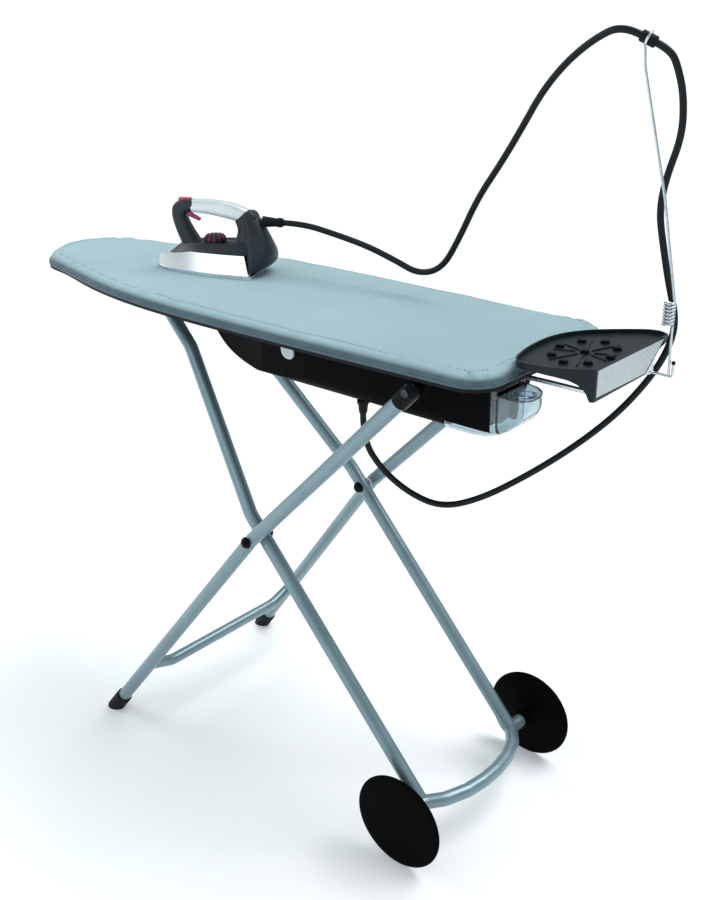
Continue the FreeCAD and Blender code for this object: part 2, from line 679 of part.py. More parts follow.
def make_iron():
    plate = Part.Face(sole(0.0, 206.0, 56.0, 0)).extrude(V(0, 0, 9.0))
    add("iron_soleplate", iron_place(plate))
    below = prism([(-10, -5), (230, -5), (230, 42.7), (83, 42.7), (26, 31.3), (-10, 24.1)], "Y", -90, 90)
    skirt = iron_loft([(2, 200, 54.5, 9), (8, 195, 50.5, 26), (15, 190, 46, 44)]).common(below)
    skirt = skirt.cut(iron_loft([(9, 196, 50, 8), (15, 191, 46, 26), (22, 186, 42, 28.5), (84, 186, 41, 39.5)]))
    add("iron_skirt", iron_place(max(skirt.Solids, key=lambda q: q.Volume)))
    body = iron_loft([(17, 190, 46, 28), (27, 190, 43.5, 38), (39, 190, 39, 46), (52, 190, 33, 53),
                      (60, 190, 28, 57)]).cut(below)
    rear_clip = box(184, 260, -80, 80, -5, 150)
    body = body.cut(rear_clip)
    dial_c = V(dial_u, 0, 55)
    body = body.cut(rod(dial_c, dial_c.add(V(0, 0, 10)), 20.6))
    body = body.cut(rod(V(dial_u, 0, 47), V(dial_u, 0, 56), 3.0 + run_gap))
    outer = [(62, 50), (54, 52), (46, 68), (39, 89), (35.7, 108), (39.7, 120.6), (49, 128), (60, 130.6),
             (77, 130.6), (106, 131), (134, 130), (161, 125), (186, 116.4), (200, 108.6), (206, 102),
             (210, 54), (172, 54), (175, 78), (172, 91), (162, 98.5), (138, 102.5), (110, 107), (79, 108),
             (70, 104.5), (66, 98), (68, 88.9), (78, 72), (90, 54)]
    handle = prism(outer, "Y", -13.5, 13.5)
    handle = try_fillet(handle, 4.5, lambda e: e.BoundBox.YLength < 0.1 and e.BoundBox.XLength
                        + e.BoundBox.ZLength > 6 and e.BoundBox.ZMin > 54)
    slot = box(51, 73, -6, 6, 125, 140)
    handle = handle.cut(slot)
    trig_slot = box(60, 88, -4.2, 4.2, 100, 116)
    handle = handle.cut(trig_slot)
    grip = prism([(77, 107.0), (77, 132), (106, 132.4), (134, 131.3), (161, 126.4), (185, 118.2),
                  (177, 98), (162, 97.7), (138, 101.3), (110, 105.8)], "Y", -15.5, 15.5)
    grip = try_fillet(grip, 3.5, lambda e: e.BoundBox.XLength > 24 and e.BoundBox.YLength < 0.1)
    core = prism([(70, 109.5), (70, 129.5), (106, 130), (134, 128.8), (161, 123.9), (192, 113.8),
                  (192, 100.5), (162, 100.3), (138, 104), (110, 108.6)], "Y", -13.2, 13.2)
    grip = grip.cut(core).cut(box(60, 88, -4.2, 4.2, 100, 112))
    grip = max(grip.Solids, key=lambda q: q.Volume)
    handle = handle.cut(grip)
    rear = prism([(184, 9.5), (204, 9.5), (214, 14), (230, 22), (236, 38), (234, 52), (225, 69), (217, 86),
                  (212, 98), (206, 103), (200, 110), (184, 118)], "Y", -50, 50)
    plan = prism([(184, -50), (205, -48), (226, -36), (238, -18), (238, 18), (226, 36), (205, 48), (184, 50)],
                 "Z", 0, 150)
    front = prism([(-50, 4), (50, 4), (46, 40), (25, 76), (17, 112), (-17, 112), (-25, 76), (-46, 40)],
                  "X", 180, 240)
    rear = rear.common(plan).common(front)
    rear = rear.cut(box(100, 192.5, -80, 80, -5, 44))
    rear = rear.cut(plate).cut(skirt)
    rear = rear.cut(Part.makeCompound([handle, grip]))
    rear = max(rear.Solids, key=lambda q: q.Volume)
    gl0 = V(212, 0, 97)
    boot = fuse([Part.makeCone(10.0, 7.0, 30.0, gl0, V(1, 0, 0)),
                 rod(V(240, 0, 97), V(247, 0, 97), 8.5), rod(V(247, 0, 97), V(250, 0, 97), 7.0)])
    rear = rear.cut(boot)
    handle = max(handle.Solids, key=lambda q: q.Volume)
    body = body.cut(handle)
    body = max(body.Solids, key=lambda q: q.Volume)
    add("iron_body", iron_place(body))
    add("iron_handle", iron_place(handle.cut(boot)))
    add("iron_grip", iron_place(grip))
    add("iron_rear_cover", iron_place(rear))
    add("iron_gland", iron_place(boot.cut(rod(V(212, 0, 97), V(213, 0, 97), 2.0))))
    dial = fuse([rod(V(dial_u, 0, 55 + face_gap), V(dial_u, 0, 64), 20.0), ball(V(dial_u, 0, 39), 32.0).common(
        rod(V(dial_u, 0, 63), V(dial_u, 0, 80), 20.0)), rod(V(dial_u, 0, 48), V(dial_u, 0, 56), 3.0)])
    ridge = [rod(V(dial_u + 20 * cos(radians(a)), 20 * sin(radians(a)), 58),
                 V(dial_u + 20 * cos(radians(a)), 20 * sin(radians(a)), 68), 1.4) for a in range(0, 360, 30)]
    dial = dial.cut(Part.makeCompound(ridge))
    add("iron_dial", iron_place(dial))
    btn = box(51.3, 72.7, -5.7, 5.7, 127.3, 133.0)
    btn = try_fillet(btn, 2.0, lambda e: e.BoundBox.ZMin > 132)
    add("steam_button", iron_place(btn))
    trig = prism([(64, 112), (70, 112), (74, 105), (91, 96), (89, 92), (68, 100)], "Y", -3.8, 3.8)
    pin = rod(V(68, -6, 109), V(68, 6, 109), 1.8)
    trig = fuse([trig, pin])
    hole = rod(V(68, -6.2, 109), V(68, 6.2, 109), 1.8 + run_gap)
    parts["iron_handle"] = parts["iron_handle"].cut(move(iron_place(hole)))
    add("steam_trigger", iron_place(trig))


def move(shape):
    s = shape.copy()
    s.translate(V(SHIFT_X, 0, 0))
    return s


# ---------------------------------------------------------------- hoses
def make_hoses(a, b, d):
    gl = V(250, 0, 97)
    gl = V(gl.x * cos(radians(iron_yaw)), gl.x * sin(radians(iron_yaw)), gl.z).add(iron_nose)
    gd = V(cos(radians(iron_yaw)), sin(radians(iron_yaw)), 0)
    upper = [gl.add(V(gd).multiply(face_gap)), gl.add(V(gd).multiply(38)), V(-30, 93, 971), V(42, 96, 960), V(104, 99, 943),
             V(152, 101, 927), V(200, 102, 944), V(232, 103, 1000), V(264, 104, 1068), V(303, 105, 1125),
             V(338, 106, 1182), V(367, 107, 1234), V(404, 108, 1279), V(450, 107, 1315),
             a.sub(V(d).multiply(30)), a]
    lower = [b, b.add(V(d).multiply(23)), V(575, 121, 1281), V(583, 130, 1244), V(585, 134, 1190),
             V(570, 127, 1130), V(566, 124, 1082), V(576, 129, 1030), V(587, 136, 975),
             V(601, 145, 920), V(594, 141, 874), V(574, 128, 826), V(536, 106, 766), V(484, 74, 708),
             V(425, 39, 655), V(362, 1, 608), V(308, -31, 588), V(262, -59, 610), V(222, -83, 650),
             V(196, -98, 700), V(196, -98, house_floor_z - 21)]
    for name, pts in (("hose_upper", upper), ("hose_lower", lower)):
        solid, wire, radii = sweep(pts, hose_r)
        turns = []
        for i in range(1, len(pts) - 1):
            p = pts[i].sub(pts[i - 1])
            q = pts[i + 1].sub(pts[i])
            turns.append(round(degrees(p.getAngle(q)), 1))
        runs = [round(pts[i + 1].sub(pts[i]).Length) for i in range(len(pts) - 1)]
        expect = pi * hose_r * hose_r * wire.Length
        print(name, "length", round(wire.Length), "volume ratio", round(solid.Volume / expect, 4))
        print("   radii", [round(r) for r in radii])
        print("   turns", turns, "runs", runs)
        add(name, solid)
    g = fuse([rod(V(196, -98, house_floor_z), V(196, -98, house_floor_z - 5), 10.0),
              Part.makeCone(8.5, 6.6, 16.0, V(196, -98, house_floor_z - 5), V(0, 0, -1)),
              rod(V(196, -98, house_floor_z), V(196, -98, house_floor_z + house_wall), 4.9)])
    add("hose_gland", g)


make_board()
make_housing()
make_inside()
make_rails()
make_front_legs()
make_rear_legs()
make_wheels()
make_rest()
ends = make_mast()
make_iron()
make_hoses(*ends)

os.makedirs("parts", exist_ok=True)
for name in sorted(parts):
    shape = parts[name]
    bb = shape.BoundBox
    print("%-18s solids %d valid %s vol %9.1f  x %.1f..%.1f y %.1f..%.1f z %.1f..%.1f" % (
        name, len(shape.Solids), shape.isValid(), shape.Volume / 1000.0,
        bb.XMin, bb.XMax, bb.YMin, bb.YMax, bb.ZMin, bb.ZMax))
    shape.exportStep("parts/" + name + ".step")
print(len(parts), "parts")
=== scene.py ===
# %% [markdown]
# # A steam ironing board
# The real thing is a folding board on two crossed pairs of steel tubes, with a steam unit under
# the top, an iron on a steam hose, a sprung wire mast that holds the hose up, and a rest for the iron.
# The hard parts arrive with their true sizes as a fixed frame. This lesson gives each of them its
# finish, and makes by hand what a drawing can't hold: cloth, hoses and soft moulded forms.

# %% Load the frame
import math
import random

import bmesh
import bpy
import numpy as np
from mathutils import Matrix, Vector


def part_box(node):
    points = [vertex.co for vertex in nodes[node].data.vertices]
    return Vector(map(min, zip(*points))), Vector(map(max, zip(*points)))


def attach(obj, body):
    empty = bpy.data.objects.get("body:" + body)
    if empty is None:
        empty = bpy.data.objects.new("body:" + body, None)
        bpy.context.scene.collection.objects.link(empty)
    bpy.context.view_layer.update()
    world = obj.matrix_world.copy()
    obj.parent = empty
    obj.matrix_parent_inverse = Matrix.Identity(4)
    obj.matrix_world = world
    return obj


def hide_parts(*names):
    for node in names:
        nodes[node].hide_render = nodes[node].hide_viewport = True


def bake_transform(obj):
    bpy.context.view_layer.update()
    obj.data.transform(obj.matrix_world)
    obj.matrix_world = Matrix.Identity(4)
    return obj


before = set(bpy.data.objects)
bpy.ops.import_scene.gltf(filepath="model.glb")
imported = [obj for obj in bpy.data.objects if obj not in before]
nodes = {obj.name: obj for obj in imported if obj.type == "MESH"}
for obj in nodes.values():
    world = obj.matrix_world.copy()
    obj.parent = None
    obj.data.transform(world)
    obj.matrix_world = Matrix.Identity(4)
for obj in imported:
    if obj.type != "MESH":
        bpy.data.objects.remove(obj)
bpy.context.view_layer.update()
scene = bpy.context.scene

# %% [markdown]
# The camera stands a little above the board, off its wheeled end, and looks down along it.
# A place, a heading and a pitch fix it, and turning those into three axes is easier to check than
# three Euler angles. The lens follows from how much of the view's width the board fills.

# %% Set the camera
camera_place = Vector((1.3534, -1.475, 1.428))
heading = math.radians(39.98)
pitch = math.radians(22.76)
sensor_mm = 36.0
lens_mm = 47.71

back = Vector((math.sin(heading) * math.cos(pitch), -math.cos(heading) * math.cos(pitch), math.sin(pitch)))
right = Vector((math.cos(heading), math.sin(heading), 0.0))
up = back.cross(right)
turn = Matrix((right, up, back)).transposed().to_4x4()
camera_data = bpy.data.cameras.new("camera")
camera_data.lens = lens_mm
camera_data.sensor_width = sensor_mm
camera_data.shift_x = -0.0018
camera_data.shift_y = 0.0024
camera = bpy.data.objects.new("camera", camera_data)
camera.matrix_world = Matrix.Translation(camera_place) @ turn
scene.collection.objects.link(camera)
scene.camera = camera
print("camera", [round(v, 3) for v in camera_place], "lens", lens_mm)

# %% [markdown]
# ## Small helpers
# Colours are picked as sRGB hex, the way a paint chart gives them, but light adds up
# in linear numbers, so one function turns each colour over. A second starts a material with the
# settings that are the same all over its surface. A third adds any node, its settings and its links.
# The rest give a surface its wear and grain, and turn a bmesh into a piece.

# %% Helpers for finishes and meshes
def linear(code):
    """An sRGB hex colour as linear red, green, blue and alpha."""
    parts = [int(code[i:i + 2], 16) / 255.0 for i in (0, 2, 4)]
    return tuple(c / 12.92 if c <= 0.04045 else ((c + 0.055) / 1.055) ** 2.4 for c in parts) + (1.0,)


def start_finish(name, **settings):
    """A material and its shader, with the settings that hold all over the surface."""
    made = bpy.data.materials.new(name)
    made.use_nodes = True
    shader = made.node_tree.nodes["Principled BSDF"]
    for label, value in settings.items():
        shader.inputs[label.replace("_", " ")].default_value = value
    return made, shader


def add(made, kind, links=None, **settings):
    """Add one node: settings are its options, links are its inputs, by value or from a socket."""
    node = made.node_tree.nodes.new(kind)
    for label, value in settings.items():
        setattr(node, label, value)
    for label, value in (links or {}).items():
        socket = node.inputs[label]
        if isinstance(value, bpy.types.NodeSocket):
            made.node_tree.links.new(value, socket)
        else:
            socket.default_value = value
    return node


def join(made, output, shader, label):
    """Run one socket into one input of a shader."""
    made.node_tree.links.new(output, shader.inputs[label])


def per_mm(size):
    """The scale that makes a pattern repeat every so many millimetres."""
    return 1000.0 / size


def wear(made, shader, dark, light, patch_mm, low, high):
    """Colour and roughness that drift a little over the surface, as handled things have."""
    place = add(made, "ShaderNodeTexCoord")
    cloud = add(made, "ShaderNodeTexNoise", {"Vector": place.outputs["Object"], "Scale": per_mm(patch_mm),
                                             "Detail": 6.0, "Roughness": 0.6})
    ramp = add(made, "ShaderNodeValToRGB", {"Fac": cloud.outputs["Fac"]})
    ramp.color_ramp.elements[0].position = 0.3
    ramp.color_ramp.elements[0].color = linear(dark)
    ramp.color_ramp.elements[1].position = 0.7
    ramp.color_ramp.elements[1].color = linear(light)
    join(made, ramp.outputs["Color"], shader, "Base Color")
    spread = add(made, "ShaderNodeMapRange", {"Value": cloud.outputs["Fac"], "From Min": 0.3, "From Max": 0.7,
                                              "To Min": low, "To Max": high})
    join(made, spread.outputs["Result"], shader, "Roughness")
    return place


def grain(made, shader, place, size_mm, depth_mm, strength=0.5):
    """Fine bump: the texture that a mould, a spray or a thread leaves."""
    fine = add(made, "ShaderNodeTexNoise", {"Vector": place.outputs["Object"], "Scale": per_mm(size_mm),
                                            "Detail": 3.0})
    bump = add(made, "ShaderNodeBump", {"Height": fine.outputs["Fac"], "Strength": strength,
                                        "Distance": depth_mm / 1000.0})
    join(made, bump.outputs["Normal"], shader, "Normal")


def smooth(data):
    """Shade a mesh smooth all over."""
    for face in data.polygons:
        face.use_smooth = True


def piece_from(bm, name):
    """Close a bmesh and make it a piece of its own in the scene."""
    mesh = bpy.data.meshes.new(name)
    bm.to_mesh(mesh)
    bm.free()
    piece = bpy.data.objects.new(name, mesh)
    scene.collection.objects.link(piece)
    return piece


def dress(made, *names):
    """Give whole nodes of the frame one finish."""
    for name in names:
        data = nodes[name].data
        data.materials.clear()
        data.materials.append(made)


print("helpers ready")

# %% [markdown]
# ## The steam hose
# The hose is a limp rubber tube, 10.5 mm across, that carries steam and a wire. It leaves the back of
# the iron, dips, climbs to the mast, and comes down again to a gland under the steam unit. It
# could be a swept mesh, but one NURBS spline bends as a real hose does: smoothly, with no corners.
# Its points are the route's own points, in metres.

# %% Rubber of the hose
# EPDM rubber, extruded: a dull black with a faint bluish bloom and a soft highlight along the tube.
hose_rubber, shader = start_finish("epdm_hose", IOR=1.52, Specular_IOR_Level=0.2)
place = wear(hose_rubber, shader, "0a0f12", "12191d", 40.0, 0.42, 0.56)
grain(hose_rubber, shader, place, 1.2, 0.15)
print("finish", hose_rubber.name)

# %% Lay the two lengths of hose
hose_mm = 10.5
upper_route = [
    (-0.1119, 0.0678, 0.9813), (-0.0775, 0.0831, 0.9813), (-0.0146, 0.0930, 0.9710), (0.0574, 0.0960, 0.9600),
    (0.1194, 0.0990, 0.9430), (0.1674, 0.1010, 0.9270), (0.2154, 0.1020, 0.9440), (0.2474, 0.1030, 1.0000),
    (0.2794, 0.1040, 1.0680), (0.3184, 0.1050, 1.1250), (0.3534, 0.1060, 1.1820), (0.3824, 0.1070, 1.2340),
    (0.4194, 0.1080, 1.2790), (0.4654, 0.1070, 1.3150), (0.5121, 0.0977, 1.3349), (0.5387, 0.10434, 1.32284)]
lower_route = [
    (0.5600, 0.10966, 1.31316), (0.5805, 0.11477, 1.30388), (0.5904, 0.1210, 1.2810), (0.5984, 0.1300, 1.2440),
    (0.6004, 0.1340, 1.1900), (0.5854, 0.1270, 1.1300), (0.5814, 0.1240, 1.0820), (0.5914, 0.1290, 1.0300),
    (0.6024, 0.1360, 0.9750), (0.6164, 0.1450, 0.9200), (0.6094, 0.1410, 0.8740), (0.5894, 0.1280, 0.8260),
    (0.5514, 0.1060, 0.7660), (0.4994, 0.0740, 0.7080), (0.4404, 0.0390, 0.6550), (0.3774, 0.0010, 0.6080),
    (0.3234, -0.0310, 0.5880), (0.2774, -0.0590, 0.6100), (0.2374, -0.0830, 0.6500),
    (0.2114, -0.0980, 0.7000), (0.2114, -0.0980, 0.7470)]


def hose_curve(name, route):
    """One smooth spline through a route's points, as thick as the hose."""
    data = bpy.data.curves.new(name, "CURVE")
    data.dimensions = "3D"
    data.bevel_depth = hose_mm / 2000.0
    data.bevel_resolution = 6
    data.resolution_u = 16
    data.use_fill_caps = True
    spline = data.splines.new("NURBS")
    spline.points.add(len(route) - 1)
    for point, spot in zip(spline.points, route):
        point.co = (*spot, 1.0)
    spline.order_u = 3
    spline.use_endpoint_u = True
    data.materials.append(hose_rubber)
    piece = bpy.data.objects.new(name, data)
    scene.collection.objects.link(piece)
    return piece


def centreline(piece):
    """The points of a curve's own line, and its length."""
    thick = piece.data.bevel_depth
    piece.data.bevel_depth = 0.0
    bpy.context.view_layer.update()
    line = bpy.data.meshes.new_from_object(piece.evaluated_get(bpy.context.evaluated_depsgraph_get()))
    spots = [tuple(v.co) for v in line.vertices]
    bpy.data.meshes.remove(line)
    piece.data.bevel_depth = thick
    bpy.context.view_layer.update()
    length = sum((Vector(b) - Vector(a)).length for a, b in zip(spots, spots[1:]))
    return spots, length


lower_hose = hose_curve("hose_from_mast", lower_route)
_, lower_length = centreline(lower_hose)
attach(lower_hose, "board")
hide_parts("hose_lower")
print("lower hose", round(lower_length, 3), "m")

# %% [markdown]
# The upper length joins two things that move apart, the iron and the mast. A curve can only ride on
# one of them, so it is turned into a mesh.

# %% Join the iron to the mast
curve = hose_curve("hose_curve", upper_route)
upper_line, upper_length = centreline(curve)
bpy.context.view_layer.update()
upper_mesh = bpy.data.meshes.new_from_object(curve.evaluated_get(bpy.context.evaluated_depsgraph_get()))
upper_hose = bpy.data.objects.new("hose_from_iron", upper_mesh)
scene.collection.objects.link(upper_hose)
bpy.data.objects.remove(curve)
smooth(upper_mesh)
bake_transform(upper_hose)
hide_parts("hose_upper")
print("upper hose", round(upper_length, 3), "m")

# %% [markdown]
# ## The cloth cover
# The cover is a cotton cloth with a metallised coat, cut to the board's outline, with a strip down the
# sides and an elastic that draws it under the rim. A bent plane would look like card, so the top is
# blown up softly as cloth over its pad, held at the hem, and small folds are then pushed into
# the strip, most of them at the corners, where the elastic gathers it.

# %% Read the outline of the board
low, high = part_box("board_cover")
cover_points = np.array([v.co[:2] for v in nodes["board_cover"].data.vertices])


def hull(points):
    """The convex outline of flat points, anticlockwise."""
    spots = sorted(set(map(tuple, np.round(points, 5))))

    def half(run):
        chain = []
        for p in run:
            while len(chain) > 1 and ((chain[-1][0] - chain[-2][0]) * (p[1] - chain[-2][1])
                                      - (chain[-1][1] - chain[-2][1]) * (p[0] - chain[-2][0])) <= 0:
                chain.pop()
            chain.append(p)
        return chain[:-1]

    return np.array(half(spots) + half(spots[::-1]))


def even(outline, step):
    """The same closed line with points a fixed step apart, and its length."""
    closed = np.vstack([outline, outline[:1]])
    runs = np.r_[0, np.cumsum(np.linalg.norm(np.diff(closed, axis=0), axis=1))]
    count = int(runs[-1] / step)
    at = np.linspace(0, runs[-1], count, endpoint=False)
    return np.stack([np.interp(at, runs, closed[:, k]) for k in (0, 1)], 1), runs[-1]


outline_step = 0.004
outline, around = even(hull(cover_points), outline_step)
along = np.roll(outline, -1, 0) - np.roll(outline, 1, 0)
outward = np.stack([along[:, 1], -along[:, 0]], 1)
outward /= np.linalg.norm(outward, axis=1)[:, None]
print("board", [round(v, 3) for v in (high - low)], "round the edge", round(around, 3), "m")

# %% Build the cover's body and blow it up
cover_top = high.z
hem_z = low.z
voxel = 0.005
# Each ring is how far it lies inside the outline, and its height.
rings = [(0.0012, hem_z), (0.0008, cover_top - 0.008), (0.0022, cover_top - 0.0035),
         (0.0070, cover_top - 0.0008)]
bm = bmesh.new()
loops = [[bm.verts.new((*(p - n * inset), z)) for p, n in zip(outline, outward)] for inset, z in rings]
for lower, upper in zip(loops, loops[1:]):
    for i in range(len(lower)):
        j = (i + 1) % len(lower)
        bm.faces.new((lower[i], lower[j], upper[j], upper[i]))
bm.faces.new(loops[-1])
bm.faces.new(loops[0][::-1])
cover = piece_from(bm, "cloth_cover")


def settle(piece, kind, **settings):
    """Add one modifier and apply it at once."""
    step = piece.modifiers.new(kind.lower(), kind)
    for label, value in settings.items():
        setattr(step, label, value)
    bpy.context.view_layer.update()
    done = bpy.data.meshes.new_from_object(piece.evaluated_get(bpy.context.evaluated_depsgraph_get()))
    piece.modifiers.clear()
    old = piece.data
    piece.data = done
    bpy.data.meshes.remove(old)


def spots_of(data):
    """A mesh's points as rows of numbers."""
    flat = np.empty(len(data.vertices) * 3)
    data.vertices.foreach_get("co", flat)
    return flat.reshape(-1, 3)


settle(cover, "REMESH", mode="VOXEL", voxel_size=voxel)
bm = bmesh.new()
bm.from_mesh(cover.data)
underside_top = hem_z + 0.002
underside = [f for f in bm.faces if f.normal.z < -0.5 and f.calc_center_median().z < underside_top]
bmesh.ops.delete(bm, geom=underside, context="FACES")
bm.to_mesh(cover.data)
bm.free()


def blow_up(piece, pressure, frames, cap, held):
    """Cloth under air pressure, pinned where held says so, with no point moved further than cap."""
    start = spots_of(piece.data)
    group = piece.vertex_groups.new(name="held")
    group.add([int(i) for i in np.nonzero(held)[0]], 1.0, "REPLACE")
    cloth = piece.modifiers.new("cloth", "CLOTH")
    cloth.settings.vertex_group_mass = "held"
    cloth.settings.use_pressure = True
    cloth.settings.uniform_pressure_force = pressure
    cloth.settings.shrink_min = -0.01
    cloth.settings.effector_weights.gravity = 0.0
    for number in range(1, frames + 1):
        scene.frame_set(number)
    moved = spots_of(piece.evaluated_get(bpy.context.evaluated_depsgraph_get()).data)
    step = moved - start
    far = np.linalg.norm(step, axis=1)
    step *= np.minimum(1.0, cap / np.maximum(far, 1e-9))[:, None]
    piece.modifiers.clear()
    piece.vertex_groups.clear()
    piece.data.vertices.foreach_set("co", (start + step).ravel())
    print("cloth moved", round(1000 * float(far.max()), 1), "mm at most, kept to", cap * 1000)
    scene.frame_set(1)


pinned_z = hem_z + 0.003
blow_up(cover, pressure=4.0, frames=20, cap=0.0035, held=spots_of(cover.data)[:, 2] < pinned_z)
settle(cover, "SUBSURF", levels=1, render_levels=1)
print("cover points", len(cover.data.vertices))

# %% [markdown]
# Folds come from a few waves of different lengths, run along the edge and tilted, so they cross the
# strip at a slant as gathers do. Their depth grows towards the hem and at the two square corners.
# A long low swell keeps the top from being dead flat, as a padded board's never is.

# %% Push folds into the strip
spots = spots_of(cover.data)
batch = 4000
nearest = np.empty(len(spots), int)
gap = np.empty(len(spots))
for first in range(0, len(spots), batch):
    part = spots[first:first + batch, None, :2] - outline[None]
    reach = (part ** 2).sum(2)
    nearest[first:first + batch] = reach.argmin(1)
    gap[first:first + batch] = np.sqrt(reach.min(1))
where = nearest * around / len(outline)
normal = outward[nearest]
# The folds deepen round the square corners, within some way of a line a little inside the end.
corner_inset, corner_reach = 0.05, 0.07
corner = np.exp(-(((outline[nearest, 0] - high.x + corner_inset) / corner_reach) ** 2))
height = np.clip((cover_top - spots[:, 2]) / (cover_top - hem_z), 0, 1)
dice = random.Random(7)
fold = np.zeros(len(spots))
drift_length = 0.31
# Each wave is its length in millimetres, its slant and its size.
waves = ((9, 0.6, 0.35), (14, -0.5, 0.5), (23, 0.9, 0.7), (41, -0.8, 0.6), (90, 0.3, 0.8))
for length_mm, slant, size in waves:
    phase = dice.uniform(0, 6.283)
    drift = 1.2 * np.sin(where * 2 * math.pi / drift_length + phase * 2)
    run = (where + slant * spots[:, 2]) * 2 * math.pi / (length_mm / 1000)
    fold += size * np.sin(run + phase + drift)
edge_reach = 0.016
edge = np.exp(-(gap / edge_reach) ** 2)
fold_depth, shoulder_depth, strip_fullness, swell_height = 0.0011, 0.0006, 0.0004, 0.0004
depth = fold_depth * height ** 0.8 * (0.55 + 1.1 * corner) * edge
shoulder_gap = 0.02
shoulder = shoulder_depth * np.exp(-((gap - shoulder_gap) / shoulder_gap) ** 2) * corner * (1 - height)
push = np.maximum(fold * depth, 0.0) + strip_fullness * height * edge
spots[:, :2] += normal * push[:, None]
# Two waves of 0.27 and 0.20 m cross, with a finer one of 0.09 m laid aslant over them.
swell = (np.sin(spots[:, 0] * 23 + 1.3) * np.cos(spots[:, 1] * 31 + 0.4)
         + 0.6 * np.sin(spots[:, 0] * 57 + spots[:, 1] * 40))
spots[:, 2] += (1 - height) * (swell_height * swell * (1 - edge) + shoulder * fold)
seam_gap, seam_width, seam_depth = 0.024, 0.0022, 0.0009
seam = np.exp(-((gap - seam_gap) / seam_width) ** 2) * (height < 0.4)
spots[:, 2] -= seam_depth * seam
lowest, highest = hem_z - 0.0004, cover_top + 0.004
spots[:, 2] = np.clip(spots[:, 2], lowest, highest)
cover.data.vertices.foreach_set("co", spots.ravel())
cover.data.update()
smooth(cover.data)
areas = np.empty(len(cover.data.polygons))
cover.data.polygons.foreach_get("area", areas)
print("cloth area", round(float(areas.sum()), 3), "m2, fold depth up to",
      round(1000 * float(push.max()), 2), "mm")

# %% [markdown]
# The top is plain woven cotton with an aluminium-filled coat, which makes it pale, cool in colour
# and a touch shiny, with a soft sheen at low angles. Threads are 0.5 mm apart on the real cloth, too
# fine to see on a whole board, so the weave is drawn at 1.6 mm. The strip round the side is painted
# darker by its height, as painted shade where the edge turns away from the light.

# %% Coated cotton of the cover
thread_mm = 1.6
cover_cloth, shader = start_finish("metallised_cotton", IOR=1.45, Sheen_Weight=0.25, Sheen_Roughness=0.4,
                                   Sheen_Tint=linear("dfeaee"))
place = add(cover_cloth, "ShaderNodeTexCoord")
flat_place = place.outputs["Object"]
blotch = add(cover_cloth, "ShaderNodeTexNoise",
             {"Vector": flat_place, "Scale": per_mm(160.0), "Detail": 4.0, "Roughness": 0.55})
tone = add(cover_cloth, "ShaderNodeValToRGB", {"Fac": blotch.outputs["Fac"]})
tone.color_ramp.elements[0].position = 0.3
tone.color_ramp.elements[0].color = linear("8eabb3")
tone.color_ramp.elements[1].position = 0.7
tone.color_ramp.elements[1].color = linear("9ebac1")
# One full wave is 2 pi / (20 x scale) across, which makes each half wave one thread.
threads = {"Vector": flat_place, "Scale": per_mm(thread_mm) / 20.0 * math.pi, "Distortion": 0.6,
           "Detail": 1.0}
warp = add(cover_cloth, "ShaderNodeTexWave", threads, bands_direction="X")
weft = add(cover_cloth, "ShaderNodeTexWave", threads, bands_direction="Y")
weave = add(cover_cloth, "ShaderNodeMath", {0: warp.outputs["Fac"], 1: weft.outputs["Fac"]},
            operation="MULTIPLY")
slub = add(cover_cloth, "ShaderNodeTexNoise", {"Vector": flat_place, "Scale": per_mm(6.0), "Detail": 5.0})
mottle = add(cover_cloth, "ShaderNodeMix", {"Factor": slub.outputs["Fac"], "A": tone.outputs["Color"],
                                            "B": linear("98b5bc")}, data_type="RGBA")
thread_tone = add(cover_cloth, "ShaderNodeMapRange",
                  {"Value": weave.outputs["Value"], "To Min": 0.94, "To Max": 1.05})
shade = add(cover_cloth, "ShaderNodeVectorMath",
            {0: mottle.outputs["Result"], "Scale": thread_tone.outputs["Result"]}, operation="SCALE")
axes = add(cover_cloth, "ShaderNodeSeparateXYZ", {"Vector": flat_place})
# Painted shade: below the top, the strip is mixed by height towards a dark blue-grey that stands in for the
# shade on the side, its strength varied a little by a noise.
painted_shade_strip = add(cover_cloth, "ShaderNodeMapRange", {"Value": axes.outputs["Z"], "From Min": cover_top - 0.008,
                                                "From Max": cover_top - 0.001, "To Min": 1.0, "To Max": 0.0})
shade_noise = add(cover_cloth, "ShaderNodeTexNoise", {"Vector": flat_place, "Scale": per_mm(35.0), "Detail": 6.0})
shade_noise_spread = add(cover_cloth, "ShaderNodeMapRange", {"Value": shade_noise.outputs["Fac"], "To Min": 0.85, "To Max": 1.0})
painted_shade_amount = add(cover_cloth, "ShaderNodeMath", {0: painted_shade_strip.outputs["Result"], 1: shade_noise_spread.outputs["Result"]},
             operation="MULTIPLY")
painted_shade_mix = add(cover_cloth, "ShaderNodeMix", {"Factor": painted_shade_amount.outputs["Value"], "A": shade.outputs["Vector"],
                                              "B": linear("3d545e")}, data_type="RGBA")
join(cover_cloth, painted_shade_mix.outputs["Result"], shader, "Base Color")
rough = add(cover_cloth, "ShaderNodeMapRange", {"Value": slub.outputs["Fac"], "To Min": 0.62, "To Max": 0.8})
join(cover_cloth, rough.outputs["Result"], shader, "Roughness")
bump = add(cover_cloth, "ShaderNodeBump",
           {"Height": weave.outputs["Value"], "Strength": 0.35, "Distance": 0.0002})
crease = add(cover_cloth, "ShaderNodeBump",
             {"Height": blotch.outputs["Fac"], "Strength": 0.5, "Distance": 0.002,
              "Normal": bump.outputs["Normal"]})
join(cover_cloth, crease.outputs["Normal"], shader, "Normal")
cover.data.materials.clear()
cover.data.materials.append(cover_cloth)
cloth_thickness = 0.0012
settle(cover, "SOLIDIFY", thickness=cloth_thickness, offset=-1.0)
smooth(cover.data)
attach(cover, "board")
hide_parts("board_cover", "pad_underlay")
print("finish", cover_cloth.name)

